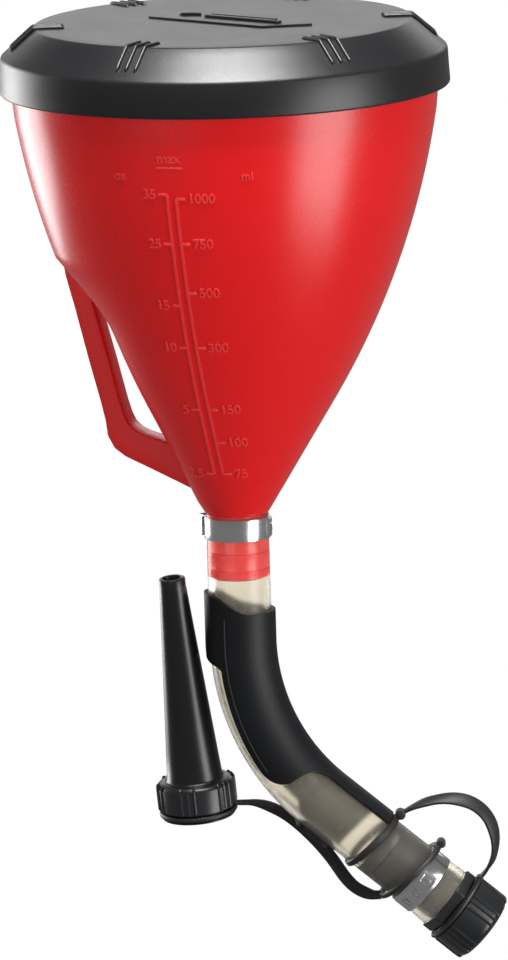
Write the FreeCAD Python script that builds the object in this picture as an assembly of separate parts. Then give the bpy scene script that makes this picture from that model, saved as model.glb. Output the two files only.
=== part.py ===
import FreeCAD, Part
import math
import os
from FreeCAD import Placement, Rotation, Vector

# Fluid filling funnel: a lidded bowl with a finger handle, a hose held in its bend by a snap-on guide,
# a threaded outlet with a tethered screw cap, and a spare tapered nozzle on its own tether.
# Frame: origin on the bowl's axis at the neck shoulder, +Z up, +X towards the outlet. Millimetres.

# bowl
NECK_R = 12.0
CONE_TOP_R = 37.1
CONE_TOP_Z = 40.9
FLARE_R = 297.0
FLARE_TOP_Z = 148.0
MOUTH_TAPER = 0.105
MOUTH_Z = 161.0
RIM_Z = 167.5
RIM_R = 79.6
RIM_BEAD = 2.4
WALL = 1.8
RECESS_TOP_Z = 97.0
RECESS_RISE = 0.2
RECESS_FALL = 0.62
RECESS_SOFT = 3.5
RECESS_HALF_DEG = 75.0
ROW_STEP = 4.0
ROW_POINTS = 60
SEAM_DEG = 60.0
CAVITY_FLOOR_Z = 4.0
NECK_THICK = 0.6
BEAD_EDGE = 0.4
LID_SEAT = 0.4

# nipple under the bowl
BORE_R = 7.7
BARB_R = 9.5
BARB_RIDGE = 0.7
BARB_CHAMFER = 0.6
NIPPLE_END_Z = -25.0
BORE_TOP_Z = 1.5
NIPPLE_RIDGES_Z = (-16.4, -22.7)

# handle, in the plane that stands 16 degrees behind the bend plane
HANDLE_DEG = 164.0
HANDLE_THICK = 10.6
HANDLE_WEB = 3.2
HANDLE_FLANGE = 2.2
HANDLE_OUTLINE = [(50.0, 97.5), (64.0, 97.5), (47.4, 30.5), (41.5, 20.2), (12.0, 7.0), (12.0, 21.5),
                  (33.0, 28.3), (40.5, 34.5), (52.6, 80.5), (44.0, 84.0)]
HANDLE_CORNERS = [1, 1, 7, 7, 1, 1, 7, 7, 3, 1]

# hose, its bend and the frame of its straight outlet run
HOSE_R = 11.5
HOSE_BORE_R = 9.5
HOSE_TOP_Z = -NECK_THICK
BEND_Z = -48.0
BEND_R = 82.0
BEND_DEG = 49.5
HOSE_END = 57.6

# stations along the outlet run, measured from the end of the bend
RING_A = 22.9
RING_B = 41.0
CLAMP_B = 46.3
TAIL_START = 24.4
HEX_LENGTH = 4.1
HEX_FLATS = 23.0
THREAD_R = 11.3
THREAD_PITCH = 3.0
THREAD_LENGTH = 12.8
THREAD_DEPTH = 0.9
THREAD_RUNOUT = 1.6
CAP_START = 61.95
CAP_END = 77.2

# clamps
BAND_WIDTH = 8.0
BAND_THICK = 0.65
TAIL_THICK = 0.5
EAR_WIDTH = 7.0
EAR_HEIGHT = 4.2
EAR_WALL = 0.8
CLAMP_A_Z = -6.0
CLAMP_A_DEG = 140.0
CLAMP_B_DEG = 50.0
WINDOW_DEG = (207.0, 235.0, 263.0)
WINDOW_HALF = 1.6
WINDOW_HALF_DEG = 6.0
HOOK_HALF = 1.1
HOOK_RISE = 0.4

# bend guide
GUIDE_THICK = 1.6
GUIDE_TOP_Z = -34.0
GUIDE_TOP_SLANT = 4.0
GUIDE_HALF_DEG = 128.0
BEAD_OUT = 0.5
FRONT_END_DEG = 39.0
FRONT_CORNER_R = 10.0
FRONT_CORNER_X = 2.0
GUIDE_RIM = 0.3
SPINE_HALF_DEG = 37.0
TAB_DEG = 7.0
TAB_HALF_DEG = 70.0
TAB_SLOPE_DEG = 50.0
LOWER_TAB_END = 15.5
SPINE_END = 22.8

# cap and tethers
CAP_R = 13.75
CAP_NECK_R = 12.7
CAP_FLOOR = 1.9
RUN_GAP = 0.25
BODY_GAP = 0.35
RIB_GROUPS = 6
RIBS_IN_GROUP = 3
RIB_WIDTH = 1.0
RIB_RISE = 0.55
RIB_PITCH_DEG = 10.5
RIB_ROOT = 0.6
RIB_STEP = 0.2
LIP_RISE = 0.6
SEAL_BORE_R = 8.4
SEAL_GAP = 0.1
CAP_SEAL_THICK = 0.6
NOZZLE_SEAL_THICK = 1.2
COLLAR_R = 14.4
CAP_COLLAR_LOW = 0.55
CAP_COLLAR_HIGH = 1.65
KNOB_A_R = 1.9
STRAP_WIDTH = 5.5
STRAP_THICK = 2.0
RING_A_TILT = 8.0
RING_A_WIDTH = 2.7
RING_A_THICK = 1.5
RING_B_TILT = 10.0
RING_B_R = 13.9
RING_B_WIRE = 1.15
CORD_R = 1.4
COLLAR_MIDDLE = 1.9
COLLAR_HALF = 0.8
KNOB_B_R = 1.7
KNOB_B_LENGTH = 5.0
CAP_STRAP_ROUTE = [(66.0, -110.9), (80.5, -110.0), (90.0, -116.5), (92.2, -127.0), (89.6, -135.5)]
CAP_STRAP_RADII = [0, 18, 15, 11.9, 15, 16, 0]
NOZZLE_STRAP_ROUTE = [Vector(44.8, 0, -146.0), Vector(37.5, 4, -142.7), Vector(30.0, 13, -132.0),
                      Vector(18.0, 17, -120.0), Vector(6.0, 13.5, -112.6)]

# nozzle
NOZZLE_NUT_CENTRE = Vector(-17.85, 6.5, -108.2)
NOZZLE_AXIS = Vector(-0.082, -0.087, 0.993)
NUT_R = 14.3
NUT_HEIGHT = 14.0
SPOUT_BASE_R = 10.3
TIP_R = 4.9
TIP_BORE_R = 3.4
NOZZLE_LENGTH = 91.4
NOZZLE_GROOVE_TOP = 3.5
SPOUT_WALL = 2.0
SOCKET_ROOF = 1.6
TIP_LAND = 4.0

# lid
LID_R = 82.2
LID_SKIRT_TOP_R = 81.5
LID_SKIRT_Z = 157.0
LID_BEVEL_Z = 170.0
LID_DISC_R = 69.0
LID_DISC_Z = 181.0
LID_WALL = 1.8
LID_RIB_WIDTH = 1.4
LID_RIB_PITCH = 3.7
LID_RIB_RISE = 1.1
LID_RIB_FIRST_DEG = -117.0
LID_RIB_REACH = 10.5
LID_RIB_FOOT = 0.78
LID_PLUG_DEPTH = 8.0
LID_PLUG_WALL = 1.5

Z_AXIS = Vector(0, 0, 1)
Y_AXIS = Vector(0, 1, 0)


def polar(r, degrees, z=0.0):
    a = math.radians(degrees)
    return Vector(r * math.cos(a), r * math.sin(a), z)


def revolve(profile):
    """Solid of revolution about Z from a closed outline of (r, z) points."""
    points = [Vector(r, 0, z) for r, z in profile]
    face = Part.Face(Part.makePolygon(points + [points[0]]))
    return face.revolve(Vector(0, 0, 0), Z_AXIS, 360)


def ring(r_in, r_out, z_low, z_high):
    return revolve([(r_in, z_low), (r_out, z_low), (r_out, z_high), (r_in, z_high)])


def sector(r_in, r_out, z_low, z_high, start_deg, end_deg):
    """Part of a ring between two azimuths, counted from +X."""
    points = [Vector(r, 0, z) for r, z in ((r_in, z_low), (r_out, z_low), (r_out, z_high), (r_in, z_high))]
    face = Part.Face(Part.makePolygon(points + [points[0]]))
    face.rotate(Vector(0, 0, 0), Z_AXIS, start_deg)
    return face.revolve(Vector(0, 0, 0), Z_AXIS, end_deg - start_deg)


def save(name, shape):
    shape = shape.removeSplitter()
    print(name, "solids", len(shape.Solids), "valid", shape.isValid(), "volume", round(shape.Volume, 1))
    shape.exportStep("parts/" + name + ".step")


def bowl_radius(z):
    """Outer radius of the bowl away from the recess: a cone, then a wide arc."""
    slope = (CONE_TOP_R - NECK_R) / CONE_TOP_Z
    if z <= CONE_TOP_Z:
        return NECK_R + slope * z
    if z > FLARE_TOP_Z:
        return bowl_radius(FLARE_TOP_Z) + MOUTH_TAPER * (min(z, MOUTH_Z) - FLARE_TOP_Z)
    angle = math.atan(slope)
    centre_r = CONE_TOP_R - FLARE_R * math.cos(angle)
    centre_z = CONE_TOP_Z + FLARE_R * math.sin(angle)
    return centre_r + math.sqrt(FLARE_R ** 2 - (centre_z - z) ** 2)


def recess_depth(z):
    """Depth of the finger recess: it grows upwards, then closes at a steep shoulder."""
    rise = RECESS_RISE * (z - CAVITY_FLOOR_Z)
    fall = RECESS_FALL * (RECESS_TOP_Z - z)
    depth = 0.5 * (rise + fall - math.sqrt((rise - fall) ** 2 + RECESS_SOFT ** 2))
    return max(depth, 0.0)


def bowl_row(z, inset):
    """Points round the bowl at one height, set in from its outside by the wall's thickness."""
    tilt = math.atan(bowl_radius(z + 1) - bowl_radius(z))
    points = []
    for i in range(ROW_POINTS + 1):
        azimuth = SEAM_DEG + 360.0 * (i % ROW_POINTS) / ROW_POINTS
        off = (azimuth - HANDLE_DEG + 180) % 360 - 180
        share = math.cos(math.radians(90 * off / RECESS_HALF_DEG)) ** 2 if abs(off) < RECESS_HALF_DEG else 0
        r = bowl_radius(z) - inset / math.cos(tilt) - recess_depth(z) * share
        points.append(polar(r, azimuth, z))
    return points


def bowl_form(inset, floor_z):
    """Solid form of the bowl's outside (inset 0) or of its cavity."""
    count = round((RIM_Z - floor_z) / ROW_STEP)
    heights = [floor_z + (RIM_Z - floor_z) * i / count for i in range(count + 1)]
    surface = Part.BSplineSurface()
    surface.interpolate([bowl_row(z, inset) for z in heights])
    side = surface.toShape()
    low = Part.Face(Part.Wire([e for e in side.Edges if e.BoundBox.ZMax < floor_z + 0.01]))
    top = Part.Face(Part.Wire([e for e in side.Edges if e.BoundBox.ZMin > RIM_Z - 0.01]))
    shell = Part.makeShell([side, low, top])
    shell.sewShape()
    form = Part.Solid(shell)
    if form.Volume < 0:
        form.reverse()
    return form


def make_bowl(outer):
    """Thin shell with a rolled rim, and the ridged nipple that the hose is pushed on."""
    inside = bowl_radius(RIM_Z) - WALL / 2
    bead_low = RIM_Z - RIM_BEAD
    bead = revolve([(inside, bead_low), (RIM_R - BEAD_EDGE, bead_low), (RIM_R, bead_low + BEAD_EDGE),
                    (RIM_R, RIM_Z - 0.7), (RIM_R - 0.3, RIM_Z - LID_SEAT), (inside, RIM_Z - LID_SEAT)])
    shoulder_r = NECK_R - 0.3
    nipple = [(BORE_R - 1, 1), (shoulder_r, 1), (shoulder_r, -NECK_THICK), (BARB_R, -NECK_THICK)]
    for z in NIPPLE_RIDGES_Z:
        nipple += [(BARB_R, z + 1.4), (BARB_R + BARB_RIDGE, z + 0.9), (BARB_R, z - 1.2)]
    nipple += [(BARB_R, NIPPLE_END_Z + BARB_CHAMFER), (BARB_R - BARB_CHAMFER, NIPPLE_END_Z),
               (BORE_R - 1, NIPPLE_END_Z)]
    floor_r = bowl_radius(CAVITY_FLOOR_Z) - 1.4 * WALL
    bore = revolve([(0, NIPPLE_END_Z - 1), (BORE_R, NIPPLE_END_Z - 1), (BORE_R, BORE_TOP_Z),
                    (floor_r, CAVITY_FLOOR_Z), (floor_r, CAVITY_FLOOR_Z + 1), (0, CAVITY_FLOOR_Z + 1)])
    shell = outer.cut(bowl_form(WALL, CAVITY_FLOOR_Z))
    return shell.fuse(bead).fuse(revolve(nipple)).cut(bore)


def round_corners(points, radii):
    """Closed outline in the XZ plane whose corners are tangent arcs."""
    edges = []
    last = None
    count = len(points)
    for i in range(count):
        here = Vector(points[i][0], 0, points[i][1])
        before = Vector(points[i - 1][0], 0, points[i - 1][1])
        after = Vector(points[(i + 1) % count][0], 0, points[(i + 1) % count][1])
        into = (before - here).normalize()
        out = (after - here).normalize()
        half = math.acos(max(-1, min(1, into.dot(out)))) / 2
        reach = radii[i] / math.tan(half)
        start = here + into * reach
        end = here + out * reach
        middle = here + (into + out).normalize() * (radii[i] / math.sin(half) - radii[i])
        if last is not None:
            edges.append(Part.makeLine(last, start))
        edges.append(Part.Arc(start, middle, end).toShape())
        if i == 0:
            first = start
        last = end
    edges.append(Part.makeLine(last, first))
    return Part.Wire(Part.__sortEdges__(edges))


def make_handle(outer):
    """I-section grip: two raised flanges round its outline and a thin web between them."""
    full = Part.Face(round_corners(HANDLE_OUTLINE, HANDLE_CORNERS))
    blank = full.extrude(Vector(0, HANDLE_THICK, 0))
    blank.translate(Vector(0, -HANDLE_THICK / 2, 0))
    inner = full.makeOffset2D(-HANDLE_FLANGE)
    depth = (HANDLE_THICK - HANDLE_WEB) / 2
    for side in (-1, 1):
        pocket = inner.extrude(Vector(0, depth + 1, 0))
        pocket.translate(Vector(0, HANDLE_WEB / 2 if side > 0 else -HANDLE_WEB / 2 - depth - 1, 0))
        blank = blank.cut(pocket)
    blank.rotate(Vector(0, 0, 0), Z_AXIS, HANDLE_DEG)
    trimmed = blank.cut(outer)
    return max(trimmed.Solids, key=lambda s: s.Volume)


def bend_end():
    a = math.radians(BEND_DEG)
    return Vector(BEND_R * (1 - math.cos(a)), 0, BEND_Z - BEND_R * math.sin(a))


def outlet_frame():
    """Local +Z runs along the outlet run, local +X points to the outside of the bend."""
    return Placement(bend_end(), Rotation(Y_AXIS, 180 - BEND_DEG))


def at_outlet(shape):
    moved = shape.copy()
    moved.Placement = outlet_frame().multiply(moved.Placement)
    return moved


def bend_turn(shape, degrees):
    """Copy of a shape carried round the bend."""
    moved = shape.copy()
    moved.rotate(Vector(BEND_R, 0, BEND_Z), Vector(0, -1, 0), degrees)
    return moved


def bend_sweep(face, start_deg, end_deg):
    """Sweeps a face that lies in the plane z = BEND_Z round part of the bend."""
    centre = Vector(BEND_R, 0, BEND_Z)
    solid = bend_turn(face, start_deg).revolve(centre, Vector(0, -1, 0), end_deg - start_deg)
    if solid.Volume < 0:
        solid.reverse()
    return solid


def sector_face(r_in, r_out, start_deg, end_deg):
    """Face of part of a ring in the plane z = BEND_Z: azimuth 0 is the inside of the bend."""
    middle_deg = (start_deg + end_deg) / 2
    a = polar(r_in, start_deg, BEND_Z)
    b = polar(r_out, start_deg, BEND_Z)
    c = polar(r_out, end_deg, BEND_Z)
    d = polar(r_in, end_deg, BEND_Z)
    outer_arc = Part.Arc(b, polar(r_out, middle_deg, BEND_Z), c).toShape()
    inner_arc = Part.Arc(d, polar(r_in, middle_deg, BEND_Z), a).toShape()
    return Part.Face(Part.Wire([Part.makeLine(a, b), outer_arc, Part.makeLine(c, d), inner_arc]))


def tube_along_bend(r, top_z, outlet_length):
    upright = Part.makeCylinder(r, top_z - BEND_Z, Vector(0, 0, BEND_Z))
    disc = Part.Face(Part.Wire(Part.makeCircle(r, Vector(0, 0, BEND_Z), Z_AXIS)))
    outlet = at_outlet(Part.makeCylinder(r, outlet_length))
    return upright.fuse(bend_sweep(disc, 0, BEND_DEG)).fuse(outlet)


def make_hose(bowl, fitting):
    """Clear hose from the neck to the fitting's hexagon, cleared of both moulded tails."""
    bore = tube_along_bend(HOSE_BORE_R, HOSE_TOP_Z + 1, HOSE_END + 1)
    return tube_along_bend(HOSE_R, HOSE_TOP_Z, HOSE_END).cut(bore).cut(bowl).cut(fitting)


def make_clamp():
    """Ear clamp centred on its own origin: band, folded ear at azimuth 0, hooks and their windows."""
    r_out = HOSE_R + BAND_THICK
    r_tail = r_out + TAIL_THICK
    low = -BAND_WIDTH / 2
    band = ring(HOSE_R, r_out, low, -low)
    top = r_out + EAR_HEIGHT
    outer_half = [(r_out - 1.4, 5.0), (r_out + 1.0, 3.6), (top - 1.0, 3.4), (top, 2.4)]
    inner_half = [(top - EAR_WALL, 1.8), (top - 1.4, 2.5), (r_out + 0.6, 2.7), (r_out - 0.9, 3.6)]
    outline = [(x, -y) for x, y in outer_half] + outer_half[::-1]
    outline += inner_half[::-1] + [(x, -y) for x, y in inner_half]
    points = [Vector(x, y, -EAR_WIDTH / 2) for x, y in outline]
    ear = Part.Face(Part.makePolygon(points + [points[0]])).extrude(Vector(0, 0, EAR_WIDTH))
    tail = sector(r_out, r_tail, low + 0.6, -low - 0.6, WINDOW_DEG[0] - 14, WINDOW_DEG[-1] + 25)
    for middle in WINDOW_DEG:
        first = middle - WINDOW_HALF_DEG
        last = middle + WINDOW_HALF_DEG
        tail = tail.cut(sector(r_out - 0.2, r_tail + 1, -WINDOW_HALF, WINDOW_HALF, first, last))
        hook = sector(r_out, r_tail + HOOK_RISE, -HOOK_HALF, HOOK_HALF, first + 1.5, first + 6.5)
        tail = tail.fuse(hook)
    return band.fuse(ear).fuse(tail)


def make_guide():
    """Snap-on channel round the bend: collar on top, front flank cut short, rear flank with a tab below."""
    r_out = HOSE_R + GUIDE_THICK
    rim = r_out + GUIDE_RIM
    channel = bend_sweep(sector_face(HOSE_R, r_out, -GUIDE_HALF_DEG, GUIDE_HALF_DEG), 0, FRONT_END_DEG)
    corner_low = Vector(-20, -40, BEND_Z - 1)
    corner_box = Part.makeBox(20 + FRONT_CORNER_X, 40, FRONT_CORNER_R + 1, corner_low)
    corner_axis = Vector(FRONT_CORNER_X, -41, BEND_Z + FRONT_CORNER_R)
    corner = corner_box.cut(Part.makeCylinder(FRONT_CORNER_R, 42, corner_axis, Y_AXIS))
    channel = channel.cut(bend_turn(corner, FRONT_END_DEG))
    rear_face = sector_face(HOSE_R, r_out, -SPINE_HALF_DEG, GUIDE_HALF_DEG + 30)
    guide = channel.fuse(bend_sweep(rear_face, FRONT_END_DEG, BEND_DEG))
    for start in (10 - GUIDE_HALF_DEG, GUIDE_HALF_DEG - 12):
        bead = sector_face(r_out - 0.4, r_out + BEAD_OUT, start, start + 2)
        guide = guide.fuse(bend_sweep(bead, 0, FRONT_END_DEG - 8))
    collar = ring(HOSE_R, rim, BEND_Z, GUIDE_TOP_Z + GUIDE_TOP_SLANT + 1)
    above = Part.makeBox(60, 60, 30, Vector(-30, -30, 0))
    above.rotate(Vector(0, 0, 0), Y_AXIS, math.degrees(math.atan(GUIDE_TOP_SLANT / r_out)))
    above.translate(Vector(0, 0, GUIDE_TOP_Z))
    guide = guide.fuse(collar.cut(above))
    front_tab = bend_sweep(sector_face(HOSE_R, rim, 180 - TAB_HALF_DEG, 180), 0, TAB_DEG)
    rear_tab = bend_sweep(sector_face(HOSE_R, rim, 180, 180 + TAB_HALF_DEG), 0, TAB_DEG)
    slope = Part.makeBox(30, 60, 30, Vector(-30, -30, -30))
    slope.rotate(Vector(0, 0, 0), Y_AXIS, TAB_SLOPE_DEG)
    slope.translate(Vector(-13.5, 0, BEND_Z - 2))
    guide = guide.fuse(front_tab.fuse(rear_tab).cut(slope))
    lower = sector(HOSE_R, rim, 0, LOWER_TAB_END, -12, 180 + SPINE_HALF_DEG)
    spine = sector(HOSE_R, r_out, LOWER_TAB_END, SPINE_END, 180 - SPINE_HALF_DEG, 180 + SPINE_HALF_DEG)
    return guide.fuse(at_outlet(lower)).fuse(at_outlet(spine))


def make_fitting():
    """Hose tail with one ridge, hexagon, outside thread and a bore right through."""
    corner_r = HEX_FLATS / math.sqrt(3)
    hexagon = Part.Face(Part.makePolygon([polar(corner_r, 60 * k, HOSE_END) for k in range(7)]))
    body = hexagon.extrude(Vector(0, 0, HEX_LENGTH))
    tail = revolve([(0, TAIL_START), (BARB_R - 0.5, TAIL_START), (BARB_R, TAIL_START + BARB_CHAMFER),
                    (BARB_R, TAIL_START + 3), (BARB_R + BARB_RIDGE, TAIL_START + 5),
                    (BARB_R, TAIL_START + 5.4), (BARB_R, HOSE_END), (0, HOSE_END)])
    shoulder = HOSE_END + HEX_LENGTH
    end = shoulder + THREAD_LENGTH
    root_r = THREAD_R - THREAD_DEPTH
    z = shoulder + THREAD_RUNOUT
    profile = [(0, shoulder), (root_r, shoulder), (root_r, z)]
    while z + THREAD_PITCH < end - 0.8:
        profile += [(root_r, z + 0.7), (THREAD_R, z + 1.2), (THREAD_R, z + 1.9), (root_r, z + 2.4)]
        z += THREAD_PITCH
    profile += [(root_r, end - BARB_CHAMFER), (root_r - BARB_CHAMFER, end), (0, end)]
    bore = Part.makeCylinder(BORE_R, end - TAIL_START + 2, Vector(0, 0, TAIL_START - 1))
    return at_outlet(body.fuse(tail).fuse(revolve(profile)).cut(bore))


def grip_ribs(r, z_low, z_high, first_deg):
    """Six groups of three upright ribs on a round of radius r."""
    ribs = []
    for group in range(RIB_GROUPS):
        for k in range(RIBS_IN_GROUP):
            azimuth = first_deg + group * 360 / RIB_GROUPS + (k - 1) * RIB_PITCH_DEG
            corner = Vector(r - RIB_ROOT, -RIB_WIDTH / 2, z_low)
            rib = Part.makeBox(RIB_RISE + RIB_ROOT, RIB_WIDTH, z_high - z_low, corner)
            rib.rotate(Vector(0, 0, 0), Z_AXIS, azimuth)
            ribs.append(rib)
    return ribs


def make_cap():
    """Screw cap: retaining lip and groove for its collar, ribbed barrel, domed end."""
    thread_bore = THREAD_R + RUN_GAP
    lip_r = CAP_NECK_R + LIP_RISE
    groove = CAP_START + 0.3
    barrel = CAP_START + 1.9
    seat = CAP_END - CAP_FLOOR
    outline = [(thread_bore, CAP_START), (lip_r, CAP_START), (lip_r, groove), (CAP_NECK_R, groove),
               (CAP_NECK_R, barrel), (CAP_R, barrel), (CAP_R, CAP_END - 3.0), (CAP_R - 1.8, CAP_END - 0.6),
               (CAP_R - 4.5, CAP_END), (0, CAP_END), (0, seat), (thread_bore, seat)]
    cap = revolve(outline)
    for rib in grip_ribs(CAP_R, barrel + RIB_STEP, CAP_END - 3.0, 0):
        cap = cap.fuse(rib)
    return at_outlet(cap)


def make_cap_seal():
    seat = CAP_END - CAP_FLOOR
    return at_outlet(ring(SEAL_BORE_R, THREAD_R - SEAL_GAP, seat - CAP_SEAL_THICK, seat))


def ribbon(points, radii, thick, width):
    """Flat strap whose line in the XZ plane is straight runs joined by tangent arcs."""
    sides = []
    count = len(points)
    for side in (1, -1):
        shift = side * thick / 2
        shifted = []
        for i in range(count):
            here = Vector(points[i][0], 0, points[i][1])
            normals = []
            for j, k in ((i - 1, i), (i, i + 1)):
                if j >= 0 and k < count:
                    run = Vector(points[k][0] - points[j][0], 0, points[k][1] - points[j][1]).normalize()
                    normals.append(Vector(-run.z, 0, run.x))
            total = normals[0] if len(normals) == 1 else (normals[0] + normals[1])
            total = total.normalize()
            shifted.append(here + total * (shift / total.dot(normals[0])))
        sides.append(shifted)
    edges = []
    for side, line in zip((1, -1), sides):
        last = line[0]
        for i in range(1, count - 1):
            into = (line[i - 1] - line[i]).normalize()
            out = (line[i + 1] - line[i]).normalize()
            half = math.acos(into.dot(out)) / 2
            turn = into.cross(out).y
            radius = radii[i] + (side if turn < 0 else -side) * thick / 2
            start = line[i] + into * (radius / math.tan(half))
            end = line[i] + out * (radius / math.tan(half))
            middle = line[i] + (into + out).normalize() * (radius / math.sin(half) - radius)
            edges.append(Part.makeLine(last, start))
            edges.append(Part.Arc(start, middle, end).toShape())
            last = end
        edges.append(Part.makeLine(last, line[-1]))
    edges.append(Part.makeLine(sides[0][0], sides[1][0]))
    edges.append(Part.makeLine(sides[0][-1], sides[1][-1]))
    face = Part.Face(Part.Wire(Part.__sortEdges__(edges)))
    strap = face.extrude(Vector(0, width, 0))
    strap.translate(Vector(0, -width / 2, 0))
    return strap


def outlet_point(station, height):
    """Point beside the outlet run in the XZ plane, at a height above the hose's axis on the bend's inside."""
    p = outlet_frame().multVec(Vector(-height, 0, station))
    return (p.x, p.z)


def tilted(shape, station, degrees):
    """Leans a shape centred on the outlet run's axis: its inside-of-bend edge goes with the flow."""
    moved = shape.copy()
    moved.Placement = Placement(Vector(0, 0, station), Rotation(Y_AXIS, degrees))
    return moved


def make_cap_tether():
    """Soft moulding in three nodes: ring with a knob on the hose, strap, and collar in the cap's groove."""
    blank = Part.makeCylinder(HOSE_R + RING_A_THICK, RING_A_WIDTH, Vector(0, 0, -RING_A_WIDTH / 2))
    hole = Part.makeCylinder(HOSE_R, 20, Vector(0, 0, RING_A - 10))
    ring_solid = at_outlet(tilted(blank, RING_A, RING_A_TILT).cut(hole))
    knob_x, knob_z = outlet_point(RING_A + 2, HOSE_R + 2.8)
    knob = Part.makeCylinder(KNOB_A_R, STRAP_WIDTH, Vector(knob_x, -STRAP_WIDTH / 2, knob_z), Y_AXIS)
    ring_solid = ring_solid.fuse(knob)
    low = CAP_START + CAP_COLLAR_LOW
    high = CAP_START + CAP_COLLAR_HIGH
    collar = at_outlet(ring(CAP_NECK_R + BODY_GAP, COLLAR_R, low, high))
    route = [(knob_x, knob_z)] + CAP_STRAP_ROUTE + [outlet_point((low + high) / 2, COLLAR_R - 0.4)]
    strap = ribbon(route, CAP_STRAP_RADII, STRAP_THICK, STRAP_WIDTH)
    strap = strap.cut(ring_solid).cut(at_outlet(Part.makeCylinder(COLLAR_R, 6, Vector(0, 0, low - 2))))
    strap = max(strap.Solids, key=lambda s: s.Volume)
    return ring_solid, strap, collar


def nozzle_placement():
    axis = Vector(NOZZLE_AXIS).normalize()
    foot = NOZZLE_NUT_CENTRE - axis * (NUT_HEIGHT / 2)
    return Placement(foot, Rotation(Z_AXIS, axis))


def at_nozzle(shape):
    moved = shape.copy()
    moved.Placement = nozzle_placement().multiply(moved.Placement)
    return moved


def make_nozzle():
    """Tapered spout on a ribbed nut, with a groove for its tether collar and a land at the tip."""
    socket_r = THREAD_R + RUN_GAP
    lip_r = CAP_NECK_R + 0.8
    roof = NUT_HEIGHT - SOCKET_ROOF
    land = NOZZLE_LENGTH - TIP_LAND
    spout_bore_r = SPOUT_BASE_R - SPOUT_WALL
    outline = [(socket_r, 0), (lip_r, 0), (lip_r, 0.5), (CAP_NECK_R, 0.8), (CAP_NECK_R, NOZZLE_GROOVE_TOP),
               (NUT_R, NOZZLE_GROOVE_TOP), (NUT_R, roof), (NUT_R - 1.6, NUT_HEIGHT),
               (SPOUT_BASE_R + 0.6, NUT_HEIGHT), (SPOUT_BASE_R, NUT_HEIGHT + 0.8), (TIP_R + 0.15, land),
               (TIP_R, land), (TIP_R, NOZZLE_LENGTH - 0.5), (TIP_R - 0.5, NOZZLE_LENGTH),
               (TIP_BORE_R, NOZZLE_LENGTH), (TIP_BORE_R, NOZZLE_LENGTH - 5), (spout_bore_r, NUT_HEIGHT),
               (spout_bore_r, roof), (socket_r, roof)]
    nozzle = revolve(outline)
    for rib in grip_ribs(NUT_R, NOZZLE_GROOVE_TOP, NUT_HEIGHT - 1.2, -60):
        nozzle = nozzle.fuse(rib)
    return at_nozzle(nozzle)


def make_nozzle_seal():
    seat = NUT_HEIGHT - SOCKET_ROOF
    return at_nozzle(ring(SEAL_BORE_R, THREAD_R - SEAL_GAP, seat - NOZZLE_SEAL_THICK, seat))


def make_nozzle_tether():
    """Loose ring on the hose, a strap that passes behind the hose, and a collar on the nozzle's nut."""
    loose = tilted(Part.makeTorus(RING_B_R, RING_B_WIRE), RING_B, RING_B_TILT)
    lean = RING_B_R * math.tan(math.radians(RING_B_TILT))
    knob_low = Vector(-RING_B_R - 1.2, -KNOB_B_LENGTH / 2, RING_B + lean)
    knob = Part.makeCylinder(KNOB_B_R, KNOB_B_LENGTH, knob_low, Y_AXIS)
    ring_solid = at_outlet(loose.fuse(knob))
    collar_in = CAP_NECK_R + BODY_GAP
    collar = at_nozzle(ring(collar_in, COLLAR_R, COLLAR_MIDDLE - COLLAR_HALF, COLLAR_MIDDLE + COLLAR_HALF))
    points = [outlet_frame().multVec(Vector(RING_B_R, 0, RING_B - lean))] + NOZZLE_STRAP_ROUTE
    hub = nozzle_placement().multVec(Vector(0, 0, COLLAR_MIDDLE))
    axis = Vector(NOZZLE_AXIS).normalize()
    toward = points[-1] - hub
    toward = (toward - axis * toward.dot(axis)).normalize()
    points.append(hub + toward * (COLLAR_R - 0.5))
    edges = []
    last = points[0]
    for i in range(1, len(points) - 1):
        into = points[i - 1] - points[i]
        out = points[i + 1] - points[i]
        shorter = min(into.Length, out.Length)
        into = into.normalize()
        out = out.normalize()
        half = math.acos(into.dot(out)) / 2
        reach = 0.45 * shorter
        radius = reach * math.tan(half)
        arc_start = points[i] + into * reach
        arc_end = points[i] + out * reach
        middle = points[i] + (into + out).normalize() * (radius / math.sin(half) - radius)
        edges.append(Part.makeLine(last, arc_start))
        edges.append(Part.Arc(arc_start, middle, arc_end).toShape())
        last = arc_end
    edges.append(Part.makeLine(last, points[-1]))
    path = Part.Wire(edges)
    section = Part.Wire(Part.makeCircle(CORD_R, points[0], points[1] - points[0]))
    strap = path.makePipeShell([section], True, False)
    strap = strap.cut(at_outlet(Part.makeCylinder(RING_B_R - 0.6, 20, Vector(0, 0, RING_B - 10))))
    strap = strap.cut(at_nozzle(Part.makeCylinder(collar_in + 0.3, 6)))
    return ring_solid.fuse(strap).fuse(collar)


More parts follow.
